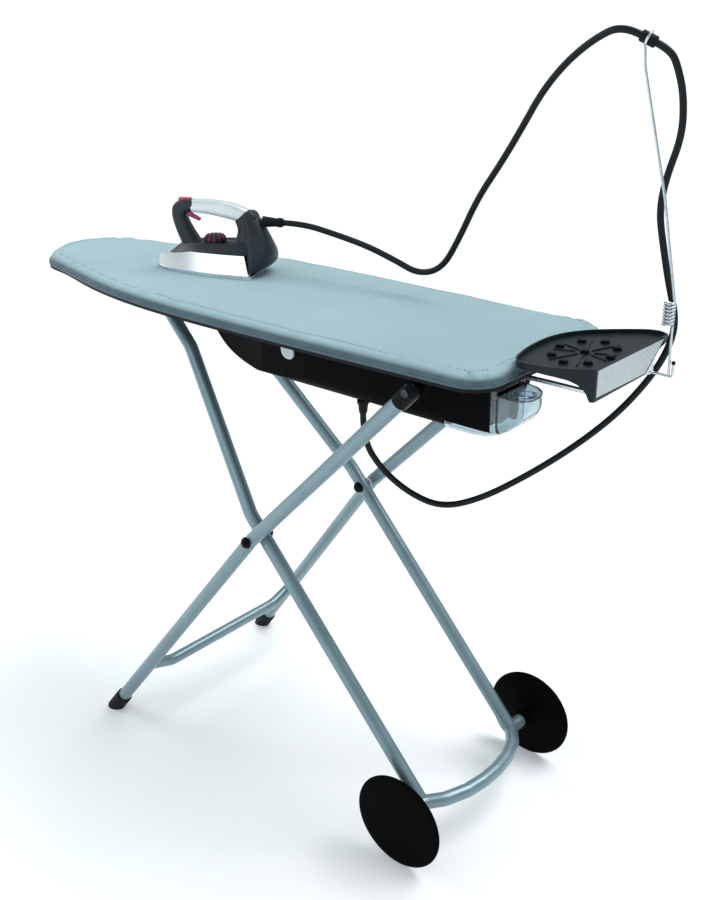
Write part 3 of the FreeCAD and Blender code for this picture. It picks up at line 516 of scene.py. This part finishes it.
# %% [markdown]
# A seam holds the cover's border to its top. Real stitches are 2.5 mm long, of 0.3 mm thread; they are
# drawn 4.4 mm long and 0.9 mm thick. Each is a short six-sided bar laid on the cloth, because
# a bump would vanish at a low angle and a bar catches light.

# %% Stitches of the border seam
stitch_step = 0.0065
seam_path, _ = even(outline - outward * seam_gap, stitch_step)
cell = 0.01
cells = {}
for x, y, z in spots[height < 0.5]:
    cells.setdefault((int(x // cell), int(y // cell)), []).append(z)
bm = bmesh.new()
thread_r = 0.00045
thread_sides = 6
thread_lift = 0.0001
# Each end of a stitch is drawn in: how far along it a section lies, and its share of the radius.
stitch_sections = ((-0.0022, 0.3), (-0.0014, 1.0), (0.0014, 1.0), (0.0022, 0.3))
for here, there in zip(seam_path, np.roll(seam_path, -1, 0)):
    levels = cells.get((int(here[0] // cell), int(here[1] // cell)))
    if not levels:
        continue
    run = Vector((there[0] - here[0], there[1] - here[1], 0.0)).normalized()
    side = Vector((-run.y, run.x, 0.0))
    middle = Vector((here[0], here[1], sum(levels) / len(levels) + thread_lift))
    ends = []
    for reach, size in stitch_sections:
        ring = []
        for k in range(thread_sides):
            a = k * math.pi / (thread_sides / 2)
            way = side * math.cos(a) + Vector((0, 0, 1)) * math.sin(a)
            ring.append(bm.verts.new(middle + run * reach + way * thread_r * size))
        ends.append(ring)
    for lower, upper in zip(ends, ends[1:]):
        for k in range(thread_sides):
            m = (k + 1) % thread_sides
            bm.faces.new((lower[k], lower[m], upper[m], upper[k]))
    bm.faces.new(ends[0][::-1])
    bm.faces.new(ends[-1])
bmesh.ops.recalc_face_normals(bm, faces=bm.faces)
stitches = piece_from(bm, "seam_stitches")
stitch_mesh = stitches.data
thread, shader = start_finish("cotton_thread", IOR=1.45, Sheen_Weight=0.3)
wear(thread, shader, "7f9aa2", "93adb4", 9.0, 0.6, 0.75)
stitch_mesh.materials.append(thread)
smooth(stitch_mesh)
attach(stitches, "board")
print("stitch faces", len(stitch_mesh.polygons))

# %% [markdown]
# The hem is a doubled edge with an elastic run through it, so it is thicker than the cloth and
# slightly gathered. It is one closed ring swept round the outline.

# %% Hem with its elastic
hem_r = 0.0021
hem_inset = 0.0022
hem_lift = 0.0016
gather_depth = 0.0004
sides = 10
bm = bmesh.new()
rows = []
gather = [gather_depth * math.sin(i * 1.7 + 2 * math.sin(i * 0.13)) for i in range(len(outline))]
for i, (p, n) in enumerate(zip(outline, outward)):
    ring = []
    for k in range(sides):
        a = 2 * math.pi * k / sides
        out = (hem_r * 0.75 + gather[i]) * math.cos(a) - hem_inset
        z = hem_z + hem_r * math.sin(a) + hem_lift
        ring.append(bm.verts.new((p[0] + n[0] * out, p[1] + n[1] * out, z)))
    rows.append(ring)
for i, ring in enumerate(rows):
    after = rows[(i + 1) % len(rows)]
    for k in range(sides):
        m = (k + 1) % sides
        bm.faces.new((ring[k], after[k], after[m], ring[m]))
bmesh.ops.recalc_face_normals(bm, faces=bm.faces)
hem = piece_from(bm, "cover_hem")
hem.data.materials.append(cover_cloth)
smooth(hem.data)
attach(hem, "board")
print("hem ring of", len(rows), "sections")

# %% [markdown]
# ## The legs
# The legs are 25 mm steel tube with a silver-blue powder coat: tiny metal flakes under a satin skin.
# Flakes are under 0.1 mm on the real coat, and are drawn at 0.8 mm as a faint sparkle.

# %% Powder coat of the tubes
tube_coat, shader = start_finish("silver_powder_coat", IOR=1.5, Metallic=0.6, Coat_Weight=0.2,
                                 Coat_Roughness=0.2)
place = wear(tube_coat, shader, "748c95", "839ba4", 90.0, 0.32, 0.4)
grain(tube_coat, shader, place, 0.8, 0.05, 0.3)
dress(tube_coat, "front_leg_near", "front_leg_far", "rear_leg_near", "rear_leg_far", "axle_bow",
      "front_crossbar")
print("finish", tube_coat.name)

# %% [markdown]
# ## Black metal and black mouldings
# The board's sheet-steel deck and the brackets have a black powder coat. The steam unit, caps and
# inner boxes are moulded ABS with a spark-eroded grain, which keeps them from shining. Both are
# nearly black, so what tells them apart is how sharp their highlights are.

# %% Black powder coat
black_coat, shader = start_finish("black_powder_coat", IOR=1.5, Specular_IOR_Level=0.15)
place = wear(black_coat, shader, "06090b", "0d1215", 60.0, 0.38, 0.5)
grain(black_coat, shader, place, 1.0, 0.08)
dress(black_coat, "board_deck", "pivot_brackets")
print("finish", black_coat.name)

# %% Grained ABS of the steam unit
black_abs, shader = start_finish("grained_black_abs", IOR=1.53, Specular_IOR_Level=0.03)
place = wear(black_abs, shader, "020304", "07090b", 70.0, 0.45, 0.6)
grain(black_abs, shader, place, 1.0, 0.12, 0.6)
dress(black_abs, "housing_shell", "rear_bulkhead", "power_inlet", "pump", "valve_knob")
print("finish", black_abs.name)

# %% Smooth nylon of the caps
# Glass-filled nylon, moulded smooth: black with a clear round highlight.
black_nylon, shader = start_finish("black_nylon", IOR=1.53, Specular_IOR_Level=0.08)
place = wear(black_nylon, shader, "030506", "080b0d", 30.0, 0.26, 0.36)
grain(black_nylon, shader, place, 0.8, 0.04, 0.3)
dress(black_nylon, "leg_top_caps", "ball_caps")
print("finish", black_nylon.name)

# %% Polypropylene of the wheels
# A plain moulded disc, slightly waxy, rubbed dull where it rolls.
wheel_plastic, shader = start_finish("black_polypropylene", IOR=1.49, Specular_IOR_Level=0.03)
place = wear(wheel_plastic, shader, "020202", "060708", 45.0, 0.5, 0.66)
grain(wheel_plastic, shader, place, 1.4, 0.1, 0.4)
dress(wheel_plastic, "wheel_near", "wheel_far")
print("finish", wheel_plastic.name)

# %% Rubber of feet, collar and glands
# Moulded rubber: matt, with a little grey bloom.
soft_rubber, shader = start_finish("moulded_rubber", IOR=1.52, Specular_IOR_Level=0.2)
place = wear(soft_rubber, shader, "07090b", "0f1417", 12.0, 0.55, 0.75)
grain(soft_rubber, shader, place, 0.9, 0.1, 0.5)
dress(soft_rubber, "foot_caps", "mast_tip", "hose_gland", "iron_gland", "hose_collar")
print("finish", soft_rubber.name)

# %% [markdown]
# ## Bare metal
# Five kinds of metal show: drawn spring wire, blued bolts at the leg tops, zinc-plated bolts below
# them, a brushed stainless skirt and an aluminium soleplate. Each is full metal with its own
# colour, and the way its surface was made sets its roughness: drawn wire is bright along its
# length, and plating is softer.

# %% Spring wire of the mast
spring_wire, shader = start_finish("drawn_spring_wire", Metallic=1.0)
place = wear(spring_wire, shader, "b4bdc0", "d5dcde", 8.0, 0.2, 0.32)
grain(spring_wire, shader, place, 0.7, 0.03, 0.3)
dress(spring_wire, "mast_lower", "mast_spring", "mast_upper", "mast_bracket", "rest_rods")
print("finish", spring_wire.name)

# %% Blued steel of the leg-top bolts
blued_steel, shader = start_finish("blued_steel", Metallic=1.0)
wear(blued_steel, shader, "2b3236", "454e53", 12.0, 0.2, 0.3)
dress(blued_steel, "top_pivot_bolts")
print("finish", blued_steel.name)

# %% Zinc plate of bolts, axle and rail
zinc_plate, shader = start_finish("zinc_plated_steel", Metallic=1.0)
place = wear(zinc_plate, shader, "9aa3a7", "c2cacd", 9.0, 0.28, 0.45)
grain(zinc_plate, shader, place, 0.9, 0.04, 0.4)
dress(zinc_plate, "centre_bolts", "slide_axle", "slide_rail", "boiler", "steam_valve", "fan_motor")
print("finish", zinc_plate.name)

# %% Brushed stainless of the iron's skirt
# The skirt is stainless sheet, brushed along the iron. Brush lines are under 0.1 mm and are drawn at
# 1 mm across and 60 mm along, turned to the iron's own heading.
iron_heading = math.radians(24.0)
brushed, shader = start_finish("brushed_stainless", Metallic=1.0)
place = add(brushed, "ShaderNodeTexCoord")
turned = add(brushed, "ShaderNodeMapping",
             {"Vector": place.outputs["Object"], "Rotation": (0, 0, -iron_heading),
              "Scale": (per_mm(60.0), per_mm(1.0), per_mm(1.0))})
lines = add(brushed, "ShaderNodeTexNoise", {"Vector": turned.outputs["Vector"], "Scale": 1.0, "Detail": 4.0})
tone = add(brushed, "ShaderNodeMix", {"Factor": lines.outputs["Fac"], "A": linear("e9eef0"),
                                      "B": linear("fbfdfd")}, data_type="RGBA")
join(brushed, tone.outputs["Result"], shader, "Base Color")
rough = add(brushed, "ShaderNodeMapRange", {"Value": lines.outputs["Fac"], "To Min": 0.2, "To Max": 0.3})
join(brushed, rough.outputs["Result"], shader, "Roughness")
bump = add(brushed, "ShaderNodeBump", {"Height": lines.outputs["Fac"], "Strength": 0.2, "Distance": 0.0001})
join(brushed, bump.outputs["Normal"], shader, "Normal")
dress(brushed, "iron_skirt")
print("finish", brushed.name)

# %% Polished aluminium of the soleplate
polished, shader = start_finish("polished_aluminium", Metallic=1.0)
wear(polished, shader, "c3cacd", "e4e9ea", 14.0, 0.12, 0.2)
dress(polished, "iron_soleplate")
print("finish", polished.name)

# %% [markdown]
# ## The iron
# A steam iron is moulded in soft flowing forms: a body like a boat's deck, a hoop that carries the
# grip, and a back that swells over the heel. Primitives joined together would show straight edges,
# so each form is a loft: a row of closed sections, skinned and then subdivided, which rounds it as a
# moulder's tool does. Sections are given in millimetres in the iron's own axes: along it from the
# tip, across it, and up from the sole.

# %% A loft in the iron's own axes
iron_tip = Vector((-0.3406, -0.034, 0.8843))


def iron_spot(along_mm, across_mm, up_mm):
    """A place on the iron as a place in the room."""
    x = along_mm * math.cos(iron_heading) - across_mm * math.sin(iron_heading)
    y = along_mm * math.sin(iron_heading) + across_mm * math.cos(iron_heading)
    return iron_tip + Vector((x, y, up_mm)) / 1000.0


def loft(name, sections, levels=2, crease=()):
    """Skin a row of closed sections, cap both ends and subdivide; crease names sharp sections."""
    bm = bmesh.new()
    rings = [[bm.verts.new(iron_spot(*spot)) for spot in section] for section in sections]
    count = len(rings[0])
    for lower, upper in zip(rings, rings[1:]):
        for i in range(count):
            j = (i + 1) % count
            bm.faces.new((lower[i], lower[j], upper[j], upper[i]))
    bm.faces.new(rings[0][::-1])
    bm.faces.new(rings[-1])
    bmesh.ops.recalc_face_normals(bm, faces=bm.faces)
    sharp = bm.edges.layers.float.new("crease_edge")
    for number in crease:
        ring = rings[number]
        for i in range(count):
            edge = bm.edges.get((ring[i], ring[(i + 1) % count]))
            edge[sharp] = 0.8
    piece = piece_from(bm, name)
    settle(piece, "SUBSURF", levels=levels, render_levels=levels)
    smooth(piece.data)
    print(name, len(piece.data.polygons), "faces")
    return piece


# %% Nylon of the iron
# The body, hoop and back are one dark heat-proof nylon with a fine grain.
iron_nylon, shader = start_finish("grained_nylon", IOR=1.53, Specular_IOR_Level=0.35)
place = wear(iron_nylon, shader, "0f1a20", "202e36", 25.0, 0.34, 0.46)
grain(iron_nylon, shader, place, 0.9, 0.08, 0.5)
print("finish", iron_nylon.name)

# %% Body of the iron
# Its plan is the sole's own pointed plan, drawn in as it rises; its foot follows the sloping skirt.
plan_along = [0.0, 0.03, 0.068, 0.13, 0.218, 0.32, 0.437, 0.56, 0.68, 0.84, 1.0]
plan_across = [0.0, 0.17, 0.30, 0.46, 0.61, 0.735, 0.84, 0.91, 0.965, 0.99, 1.0]
heel_mm = 196.0
# Where the skirt's top edge and the deck lie: millimetres from the tip, then up from the sole.
foot_line = ([20, 26, 83, 200], [29.5, 31.3, 42.7, 42.7])
deck_line = ([28, 40, 53, 75, 100, 150, 175, 200], [37, 44, 49.5, 53.5, 55, 55.5, 60, 66])


def body_section(tip_mm, half_mm, rise):
    """One section of the body: rise is 0 at the skirt and 1 at the deck."""
    spots = []
    far_side = list(zip(plan_along, plan_across))
    near_side = [(a, -b) for a, b in far_side[::-1]]
    for a, b in near_side + far_side[1:]:
        at = tip_mm + (heel_mm - tip_mm) * a
        foot = np.interp(at, *foot_line)
        deck = np.interp(at, *deck_line)
        spots.append((at, half_mm * b, foot + (deck - foot) * rise))
    return spots


iron_body = loft("iron_deck", [
    body_section(*row) for row in (
        (24, 46, -0.05), (24, 46, 0.0), (26, 45.4, 0.12), (30, 42, 0.38), (38, 36.5, 0.72),
        (45, 32.5, 1.0), (50, 30, 1.22), (55, 28, 1.22), (60, 26, 1.0), (75, 14, 0.98))], crease=(0, 1))

# %% Hoop of the iron
# The hoop leans forward from the deck, turns over at the top and runs into the grip.
hoop_front = [(58, 44), (52, 54), (45.9, 68.3), (38.6, 89), (35.7, 108.1), (39.7, 120.6), (49.6, 128),
              (61, 130.7), (77, 130.5), (80, 130.5)]
hoop_back = [(100, 44), (91, 54), (79.5, 70), (68, 88.9), (64, 99.5), (66, 105), (71, 107.6),
             (75, 108.4), (78, 108.6), (81, 108.6)]
hoop_half = [17, 15.5, 14.5, 14.2, 14.2, 14.2, 14.4, 14.8, 15.2, 15.2]


def hoop_section(front, rear, half):
    """A rounded oblong between a point on the front edge and one on the back edge."""
    shape = [(0, -0.45), (0.12, -0.88), (0.4, -1), (0.7, -0.98), (0.93, -0.75), (1, -0.3),
             (1, 0.3), (0.93, 0.75), (0.7, 0.98), (0.4, 1), (0.12, 0.88), (0, 0.45)]
    return [(front[0] + (rear[0] - front[0]) * s, half * t, front[1] + (rear[1] - front[1]) * s)
            for s, t in shape]


hoop_rows = zip(hoop_front, hoop_back, hoop_half)
iron_hoop = loft("iron_hoop", [hoop_section(*row) for row in hoop_rows], crease=(0, 9))

# %% Well for the steam button
# The button sinks 2 mm into the top of the hoop, so a square well is cut for it.
well_middle = (62.0, 0.0, 132.5)
well_size = (22.0, 12.0, 15.0)
bm = bmesh.new()
bmesh.ops.create_cube(bm, size=1.0)
for vert in bm.verts:
    vert.co = iron_spot(*(m + size * part for m, size, part in zip(well_middle, well_size, vert.co)))
well = piece_from(bm, "button_well")
settle(iron_hoop, "BOOLEAN", object=well, operation="DIFFERENCE", solver="EXACT")
bpy.data.objects.remove(well)
iron_hoop.data.set_sharp_from_angle(angle=math.radians(40.0))
print("hoop with its well", len(iron_hoop.data.polygons), "faces")

# %% Post behind the grip
# The post carries the back end of the grip and runs down into the deck with a wide hollow curve.
# Each row is its height, its front, its back and its half width.
post_rows = [(42, 140, 204, 40), (50, 146, 204, 36.5), (57, 155, 203, 32), (66, 163, 203, 28.5),
             (78, 167, 203, 25), (88, 165.5, 204, 21.5), (96, 160, 204, 18), (99, 159.5, 203, 17),
             (106, 167, 203, 16.3), (112, 177, 198, 15.6), (116, 183, 192, 14)]


def post_section(height, front, rear, half):
    """A section with a rounded front and a flat back."""
    shape = [(0, -0.4), (0.07, -0.8), (0.25, -0.97), (0.6, -1), (1, -1), (1, 0), (1, 1), (0.6, 1),
             (0.25, 0.97), (0.07, 0.8), (0, 0.4)]
    return [(front + (rear - front) * s, half * t, height) for s, t in shape]


iron_post = loft("iron_post", [post_section(*row) for row in post_rows], crease=(0,))

# %% Back of the iron
# The back is a separate shell, split from the post along a fine line; it swells out over the heel.
back_rows = [(9.6, 196.5, 207, 47), (12, 195.8, 212, 49), (20, 194, 229, 48.5), (31, 192, 236.5, 47),
             (42, 190, 236.5, 44), (54, 188, 232, 38.5), (69, 185.3, 225, 32), (85, 182.5, 217, 25.5),
             (96, 180.6, 211, 21.5), (103, 179.4, 206, 19), (109, 178.6, 200, 17.5), (115, 178, 189, 15.8)]


def back_section(height, front, rear, half):
    """A section with a broad front and a rounded back."""
    shape = [(0, -0.97), (0, 0), (0, 0.97), (0.22, 1), (0.5, 0.94), (0.78, 0.72), (0.95, 0.4), (1, 0),
             (0.95, -0.4), (0.78, -0.72), (0.5, -0.94), (0.22, -1)]
    return [(front + (rear - front) * s, half * t, height) for s, t in shape]


iron_back = loft("iron_back", [back_section(*row) for row in back_rows], crease=(0, 1))
for piece in (iron_body, iron_hoop, iron_post, iron_back):
    piece.data.materials.append(iron_nylon)
    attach(piece, "iron")
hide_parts("iron_body")
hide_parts("iron_handle")
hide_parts("iron_rear_cover")
dress(iron_nylon, "iron_dial")

# %% Grip of the iron
# The grip is ABS sprayed silver under a clear coat: a gently arched bar, flat on top, with a soft
# edge along each side. Its back end is cut on a slant where the post takes over.
silver_spray, shader = start_finish("silver_spray", IOR=1.5, Metallic=0.3, Coat_Weight=0.3,
                                    Coat_Roughness=0.15)
place = wear(silver_spray, shader, "cdd7da", "e0e7e9", 18.0, 0.3, 0.38)
grain(silver_spray, shader, place, 0.8, 0.03, 0.2)
grip_top = [(77.5, 130.8), (78.5, 131.4), (92, 132), (106, 132.1), (120, 131.7), (134, 130.9),
            (147, 129), (161, 126.2), (174, 121.9), (184, 118), (185.5, 117.2)]
grip_low = [(79.5, 108.3), (80.5, 107.9), (93, 107.4), (108, 106.5), (121, 104.6), (134, 102.3),
            (145, 100.3), (154, 98.6), (160, 97.8), (163.5, 97.6), (165, 97.8)]


def grip_section(top, low):
    """A narrow flat top, long sloping sides, a soft edge low down and a narrower underside."""
    shape = [(0, 0), (8, 0), (12.8, 0.04), (15.3, 0.2), (16.2, 0.34), (15.6, 0.42), (12.6, 0.78),
             (9, 0.97), (0, 1), (-9, 0.97), (-12.6, 0.78), (-15.6, 0.42), (-16.2, 0.34), (-15.3, 0.2),
             (-12.8, 0.04), (-8, 0)]
    return [(low[0] + (top[0] - low[0]) * t, v, low[1] + (top[1] - low[1]) * t) for v, t in shape]


iron_grip = loft("silver_grip", [grip_section(*row) for row in zip(grip_top, grip_low)], crease=(0, 10))
iron_grip.data.materials.append(silver_spray)
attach(iron_grip, "iron")
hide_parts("iron_grip")

# %% Marks on the dial
# Twelve ridges of a magenta plastic are moulded into the dial between its flutes.
magenta_abs, shader = start_finish("magenta_abs", IOR=1.53, Specular_IOR_Level=0.3)
wear(magenta_abs, shader, "9c1f5f", "b62f74", 8.0, 0.28, 0.38)
dial_centre = 117.8
mark_count = 12
mark_half = 0.9
mark_depths = (-1.4, 0.7)
mark_line = [(13.0, 69.2), (16.5, 67.6), (19.2, 64.6), (20.3, 61.0), (20.3, 58.0)]
bm = bmesh.new()
for number in range(mark_count):
    angle = 2 * math.pi * (number + 0.5) / mark_count
    rails = []
    for side in (-mark_half, mark_half):
        rail = []
        for radius, height in mark_line:
            along_mm = dial_centre + radius * math.cos(angle) - side * math.sin(angle)
            across_mm = radius * math.sin(angle) + side * math.cos(angle)
            rail.append([bm.verts.new(iron_spot(along_mm, across_mm, height + lift)) for lift in mark_depths])
        rails.append(rail)
    for a, b, c, d in zip(rails[0], rails[0][1:], rails[1], rails[1][1:]):
        bm.faces.new((a[1], b[1], d[1], c[1]))
        bm.faces.new((a[0], c[0], d[0], b[0]))
        bm.faces.new((a[0], b[0], b[1], a[1]))
        bm.faces.new((c[0], c[1], d[1], d[0]))
    for end in (0, -1):
        bm.faces.new((rails[0][end][0], rails[0][end][1], rails[1][end][1], rails[1][end][0]))
bmesh.ops.recalc_face_normals(bm, faces=bm.faces)
dial_marks = piece_from(bm, "dial_marks")
dial_marks.data.materials.append(magenta_abs)
dress(magenta_abs, "steam_trigger")
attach(dial_marks, "dial")
print("dial marks", len(dial_marks.data.polygons), "faces")

# %% Red mouldings
# ABS coloured in the mass, glossy as it leaves the mould.
red_abs, shader = start_finish("red_abs", IOR=1.53, Coat_Weight=0.3, Coat_Roughness=0.1)
wear(red_abs, shader, "b5253a", "cf3a4d", 8.0, 0.25, 0.35)
dress(red_abs, "steam_button", "rocker_switch")
print("finish", red_abs.name)

# %% [markdown]
# ## The iron rest
# The rest is a ribbed polypropylene tray, slate black, with silicone studs that keep the hot sole off
# it. Its outer wall carries a plain pale panel.

# %% Polypropylene of the tray
tray_plastic, shader = start_finish("slate_polypropylene", IOR=1.49, Specular_IOR_Level=0.25)
place = wear(tray_plastic, shader, "0d161b", "17232a", 35.0, 0.34, 0.46)
grain(tray_plastic, shader, place, 1.0, 0.1, 0.5)
dress(tray_plastic, "rest_tray")
silicone, shader = start_finish("silicone", IOR=1.41, Specular_IOR_Level=0.2)
wear(silicone, shader, "06090b", "0e1316", 10.0, 0.4, 0.55)
dress(silicone, "rest_studs")
print("finish", tray_plastic.name, silicone.name)

# %% Pale panel of the tray
panel, shader = start_finish("printed_film", IOR=1.5)
wear(panel, shader, "aab6ba", "c3cdd0", 5.0, 0.4, 0.5)
dress(panel, "rest_panel")
print("finish", panel.name)

# %% [markdown]
# ## Clear plastics
# The end of the steam unit is a clear cowl, and behind it slides the clear water tank. Both are
# polycarbonate with a faint blue tint. Real thickness and a real index bend what is seen through
# them, so they are glass-like shaders on closed walls, not faded paint. The cowl's front half is
# masked black, to hide the inner box, so its mesh is copied, cut along the mask's edges and given
# two finishes: a mask painted by a pattern would have a soft edge.

# %% Clear polycarbonate
clear, shader = start_finish("clear_polycarbonate", IOR=1.58, Transmission_Weight=1.0,
                             Base_Color=linear("d0dfe3"))
place = add(clear, "ShaderNodeTexCoord")
cloud = add(clear, "ShaderNodeTexNoise",
            {"Vector": place.outputs["Object"], "Scale": per_mm(25.0), "Detail": 4.0})
rough = add(clear, "ShaderNodeMapRange", {"Value": cloud.outputs["Fac"], "To Min": 0.01, "To Max": 0.05})
join(clear, rough.outputs["Result"], shader, "Roughness")
dress(clear, "water_tank", "tank_cap")
print("finish", clear.name)

# %% Cowl with its black mask
mask_end_x = 0.467
mask_low_z = 0.783
bm = bmesh.new()
bm.from_mesh(nodes["end_cowl"].data)
for spot, way in (((mask_end_x, 0, 0), (1, 0, 0)), ((0, 0, mask_low_z), (0, 0, 1))):
    everything = bm.verts[:] + bm.edges[:] + bm.faces[:]
    bmesh.ops.bisect_plane(bm, geom=everything, plane_co=spot, plane_no=way)
for face in bm.faces:
    middle = face.calc_center_median()
    face.material_index = int(middle.x < mask_end_x and middle.z > mask_low_z)
cowl = piece_from(bm, "clear_cowl")
cowl.matrix_world = nodes["end_cowl"].matrix_world.copy()
cowl.data.materials.append(clear)
cowl.data.materials.append(black_abs)
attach(cowl, "board")
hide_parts("end_cowl")
print("cowl faces", len(cowl.data.polygons))

# %% Small mouldings
# White acetal for bushes, spacers and the fan; pale polyethylene for the drain cap; grey ABS for the
# lever; and the green laminate of the control board.
white_acetal, shader = start_finish("white_acetal", IOR=1.48)
wear(white_acetal, shader, "cfd4d3", "dfe3e2", 15.0, 0.35, 0.45)
dress(white_acetal, "pivot_spacers", "slide_bushes", "fan_impeller")
pale_cap, shader = start_finish("pale_polyethylene", IOR=1.51)
wear(pale_cap, shader, "b9cbd0", "c9d8dc", 12.0, 0.4, 0.5)
dress(pale_cap, "drain_cap")
grey_abs, shader = start_finish("grey_abs", IOR=1.53)
wear(grey_abs, shader, "b4c2c6", "c6d1d4", 12.0, 0.35, 0.45)
laminate, shader = start_finish("green_laminate", IOR=1.5)
wear(laminate, shader, "1d5a35", "2c7044", 6.0, 0.25, 0.4)
dress(laminate, "control_board")
felt, shader = start_finish("needled_felt", IOR=1.45, Sheen_Weight=0.3)
place = wear(felt, shader, "b9b7ae", "cfcdc4", 6.0, 0.85, 0.95)
grain(felt, shader, place, 1.5, 0.5, 0.8)
dress(felt, "pad_underlay")
print("finish", white_acetal.name, pale_cap.name, grey_abs.name, laminate.name, felt.name)

# %% Pull tab of the height lever
# The tab that works the height catch is a small tongue with a rounded lower edge, so it gets its own
# outline instead of a square plate, with its edges rounded by a bevel. A neck joins it to the
# barrel that turns on the pin.
tab_outline = [(0.0620, 0.8365), (0.0890, 0.8365), (0.0905, 0.8290), (0.0895, 0.8220), (0.0860, 0.8180),
               (0.0800, 0.8160), (0.0735, 0.8165), (0.0680, 0.8195), (0.0640, 0.8250)]
tab_front_y = -0.1305
tab_back_y = -0.1265
tab_rounding = 0.0012
neck_size, neck_place = (0.020, 0.0032, 0.013), (0.0754, -0.1284, 0.8425)
pin_place = (0.0757, -0.128, 0.848)
barrel_and_pin = ((0.005, 0.028), (0.003, 0.049))
bm = bmesh.new()
front = [bm.verts.new((x, tab_front_y, z)) for x, z in tab_outline]
rear = [bm.verts.new((x, tab_back_y, z)) for x, z in tab_outline]
bm.faces.new(front)
bm.faces.new(rear[::-1])
for k in range(len(front)):
    m = (k + 1) % len(front)
    bm.faces.new((front[k], rear[k], rear[m], front[m]))
bmesh.ops.recalc_face_normals(bm, faces=bm.faces)
rims = [e for e in bm.edges if abs(e.verts[0].co.y - e.verts[1].co.y) < 1e-6]
bmesh.ops.bevel(bm, geom=rims, offset=tab_rounding, segments=3, affect="EDGES", profile=0.6)
neck = bmesh.ops.create_cube(bm, size=1.0)["verts"]
bmesh.ops.scale(bm, vec=neck_size, verts=neck)
bmesh.ops.translate(bm, vec=neck_place, verts=neck)
lying = Matrix.Translation(pin_place) @ Matrix.Rotation(math.pi / 2, 4, "Y")
for radius, length in barrel_and_pin:
    bmesh.ops.create_cone(bm, cap_ends=True, segments=24, radius1=radius, radius2=radius, depth=length,
                          matrix=lying)
lever_tab = piece_from(bm, "lever_tab")
lever_tab.data.materials.append(grey_abs)
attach(lever_tab, "lever")
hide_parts("height_lever")
print("lever tab", len(lever_tab.data.polygons), "faces")

# %% [markdown]
# ## Floor and light
# The board stands on a white studio floor that runs back out of sight. Most of the light comes from
# overhead and behind, so broad that no shadow has an edge; it leaves the near sides darker than the
# top. Two soft boxes, in front and at the nose, put bright streaks in the polished skirt and along
# the tubes.

# %% Floor
floor_size = 400.0
half = floor_size / 2
bm = bmesh.new()
corners = ((-half, -half), (half, -half), (half, half), (-half, half))
bm.faces.new([bm.verts.new((x, y, 0)) for x, y in corners])
floor = piece_from(bm, "studio_floor")
floor_paint, shader = start_finish("floor_paint", Specular_IOR_Level=0.0, Roughness=0.9,
                                   Emission_Color=linear("fbfbfb"), Emission_Strength=0.14)
wear(floor_paint, shader, "e9edef", "edf0f2", 900.0, 0.9, 0.95)
floor.data.materials.append(floor_paint)
print("floor", floor_size, "m")

# %% Lights
world = bpy.data.worlds.new("studio")
scene.world = world
world.use_nodes = True
world.node_tree.nodes["Background"].inputs["Color"].default_value = linear("e6f0f5")
world.node_tree.nodes["Background"].inputs["Strength"].default_value = 0.6


def soft_box(name, spot, aim, size, power):
    """A square area lamp at a spot, turned to face a point."""
    data = bpy.data.lights.new(name, "AREA")
    data.energy = power
    data.size = size
    lamp = bpy.data.objects.new(name, data)
    scene.collection.objects.link(lamp)
    lamp.location = spot
    lamp.rotation_euler = (Vector(aim) - Vector(spot)).to_track_quat("-Z", "Y").to_euler()
    return lamp


soft_box("front", (-0.3, -3.0, 1.9), (-0.2, 0.0, 0.8), 2.2, 15)
soft_box("left", (-2.6, -0.6, 2.4), (-0.2, 0.0, 0.8), 1.6, 22)
sky_light = bpy.data.lights.new("overhead", "SUN")
sky_light.energy = 2.1
sky_light.color = (1.0, 0.975, 0.96)
sky_light.angle = math.radians(40.0)
overhead = bpy.data.objects.new("overhead", sky_light)
scene.collection.objects.link(overhead)
overhead.rotation_euler = Vector((-0.3, -0.4, -1.0)).to_track_quat("-Z", "Y").to_euler()
scene.view_settings.view_transform = "Standard"
print("lamps", len(bpy.data.lights))
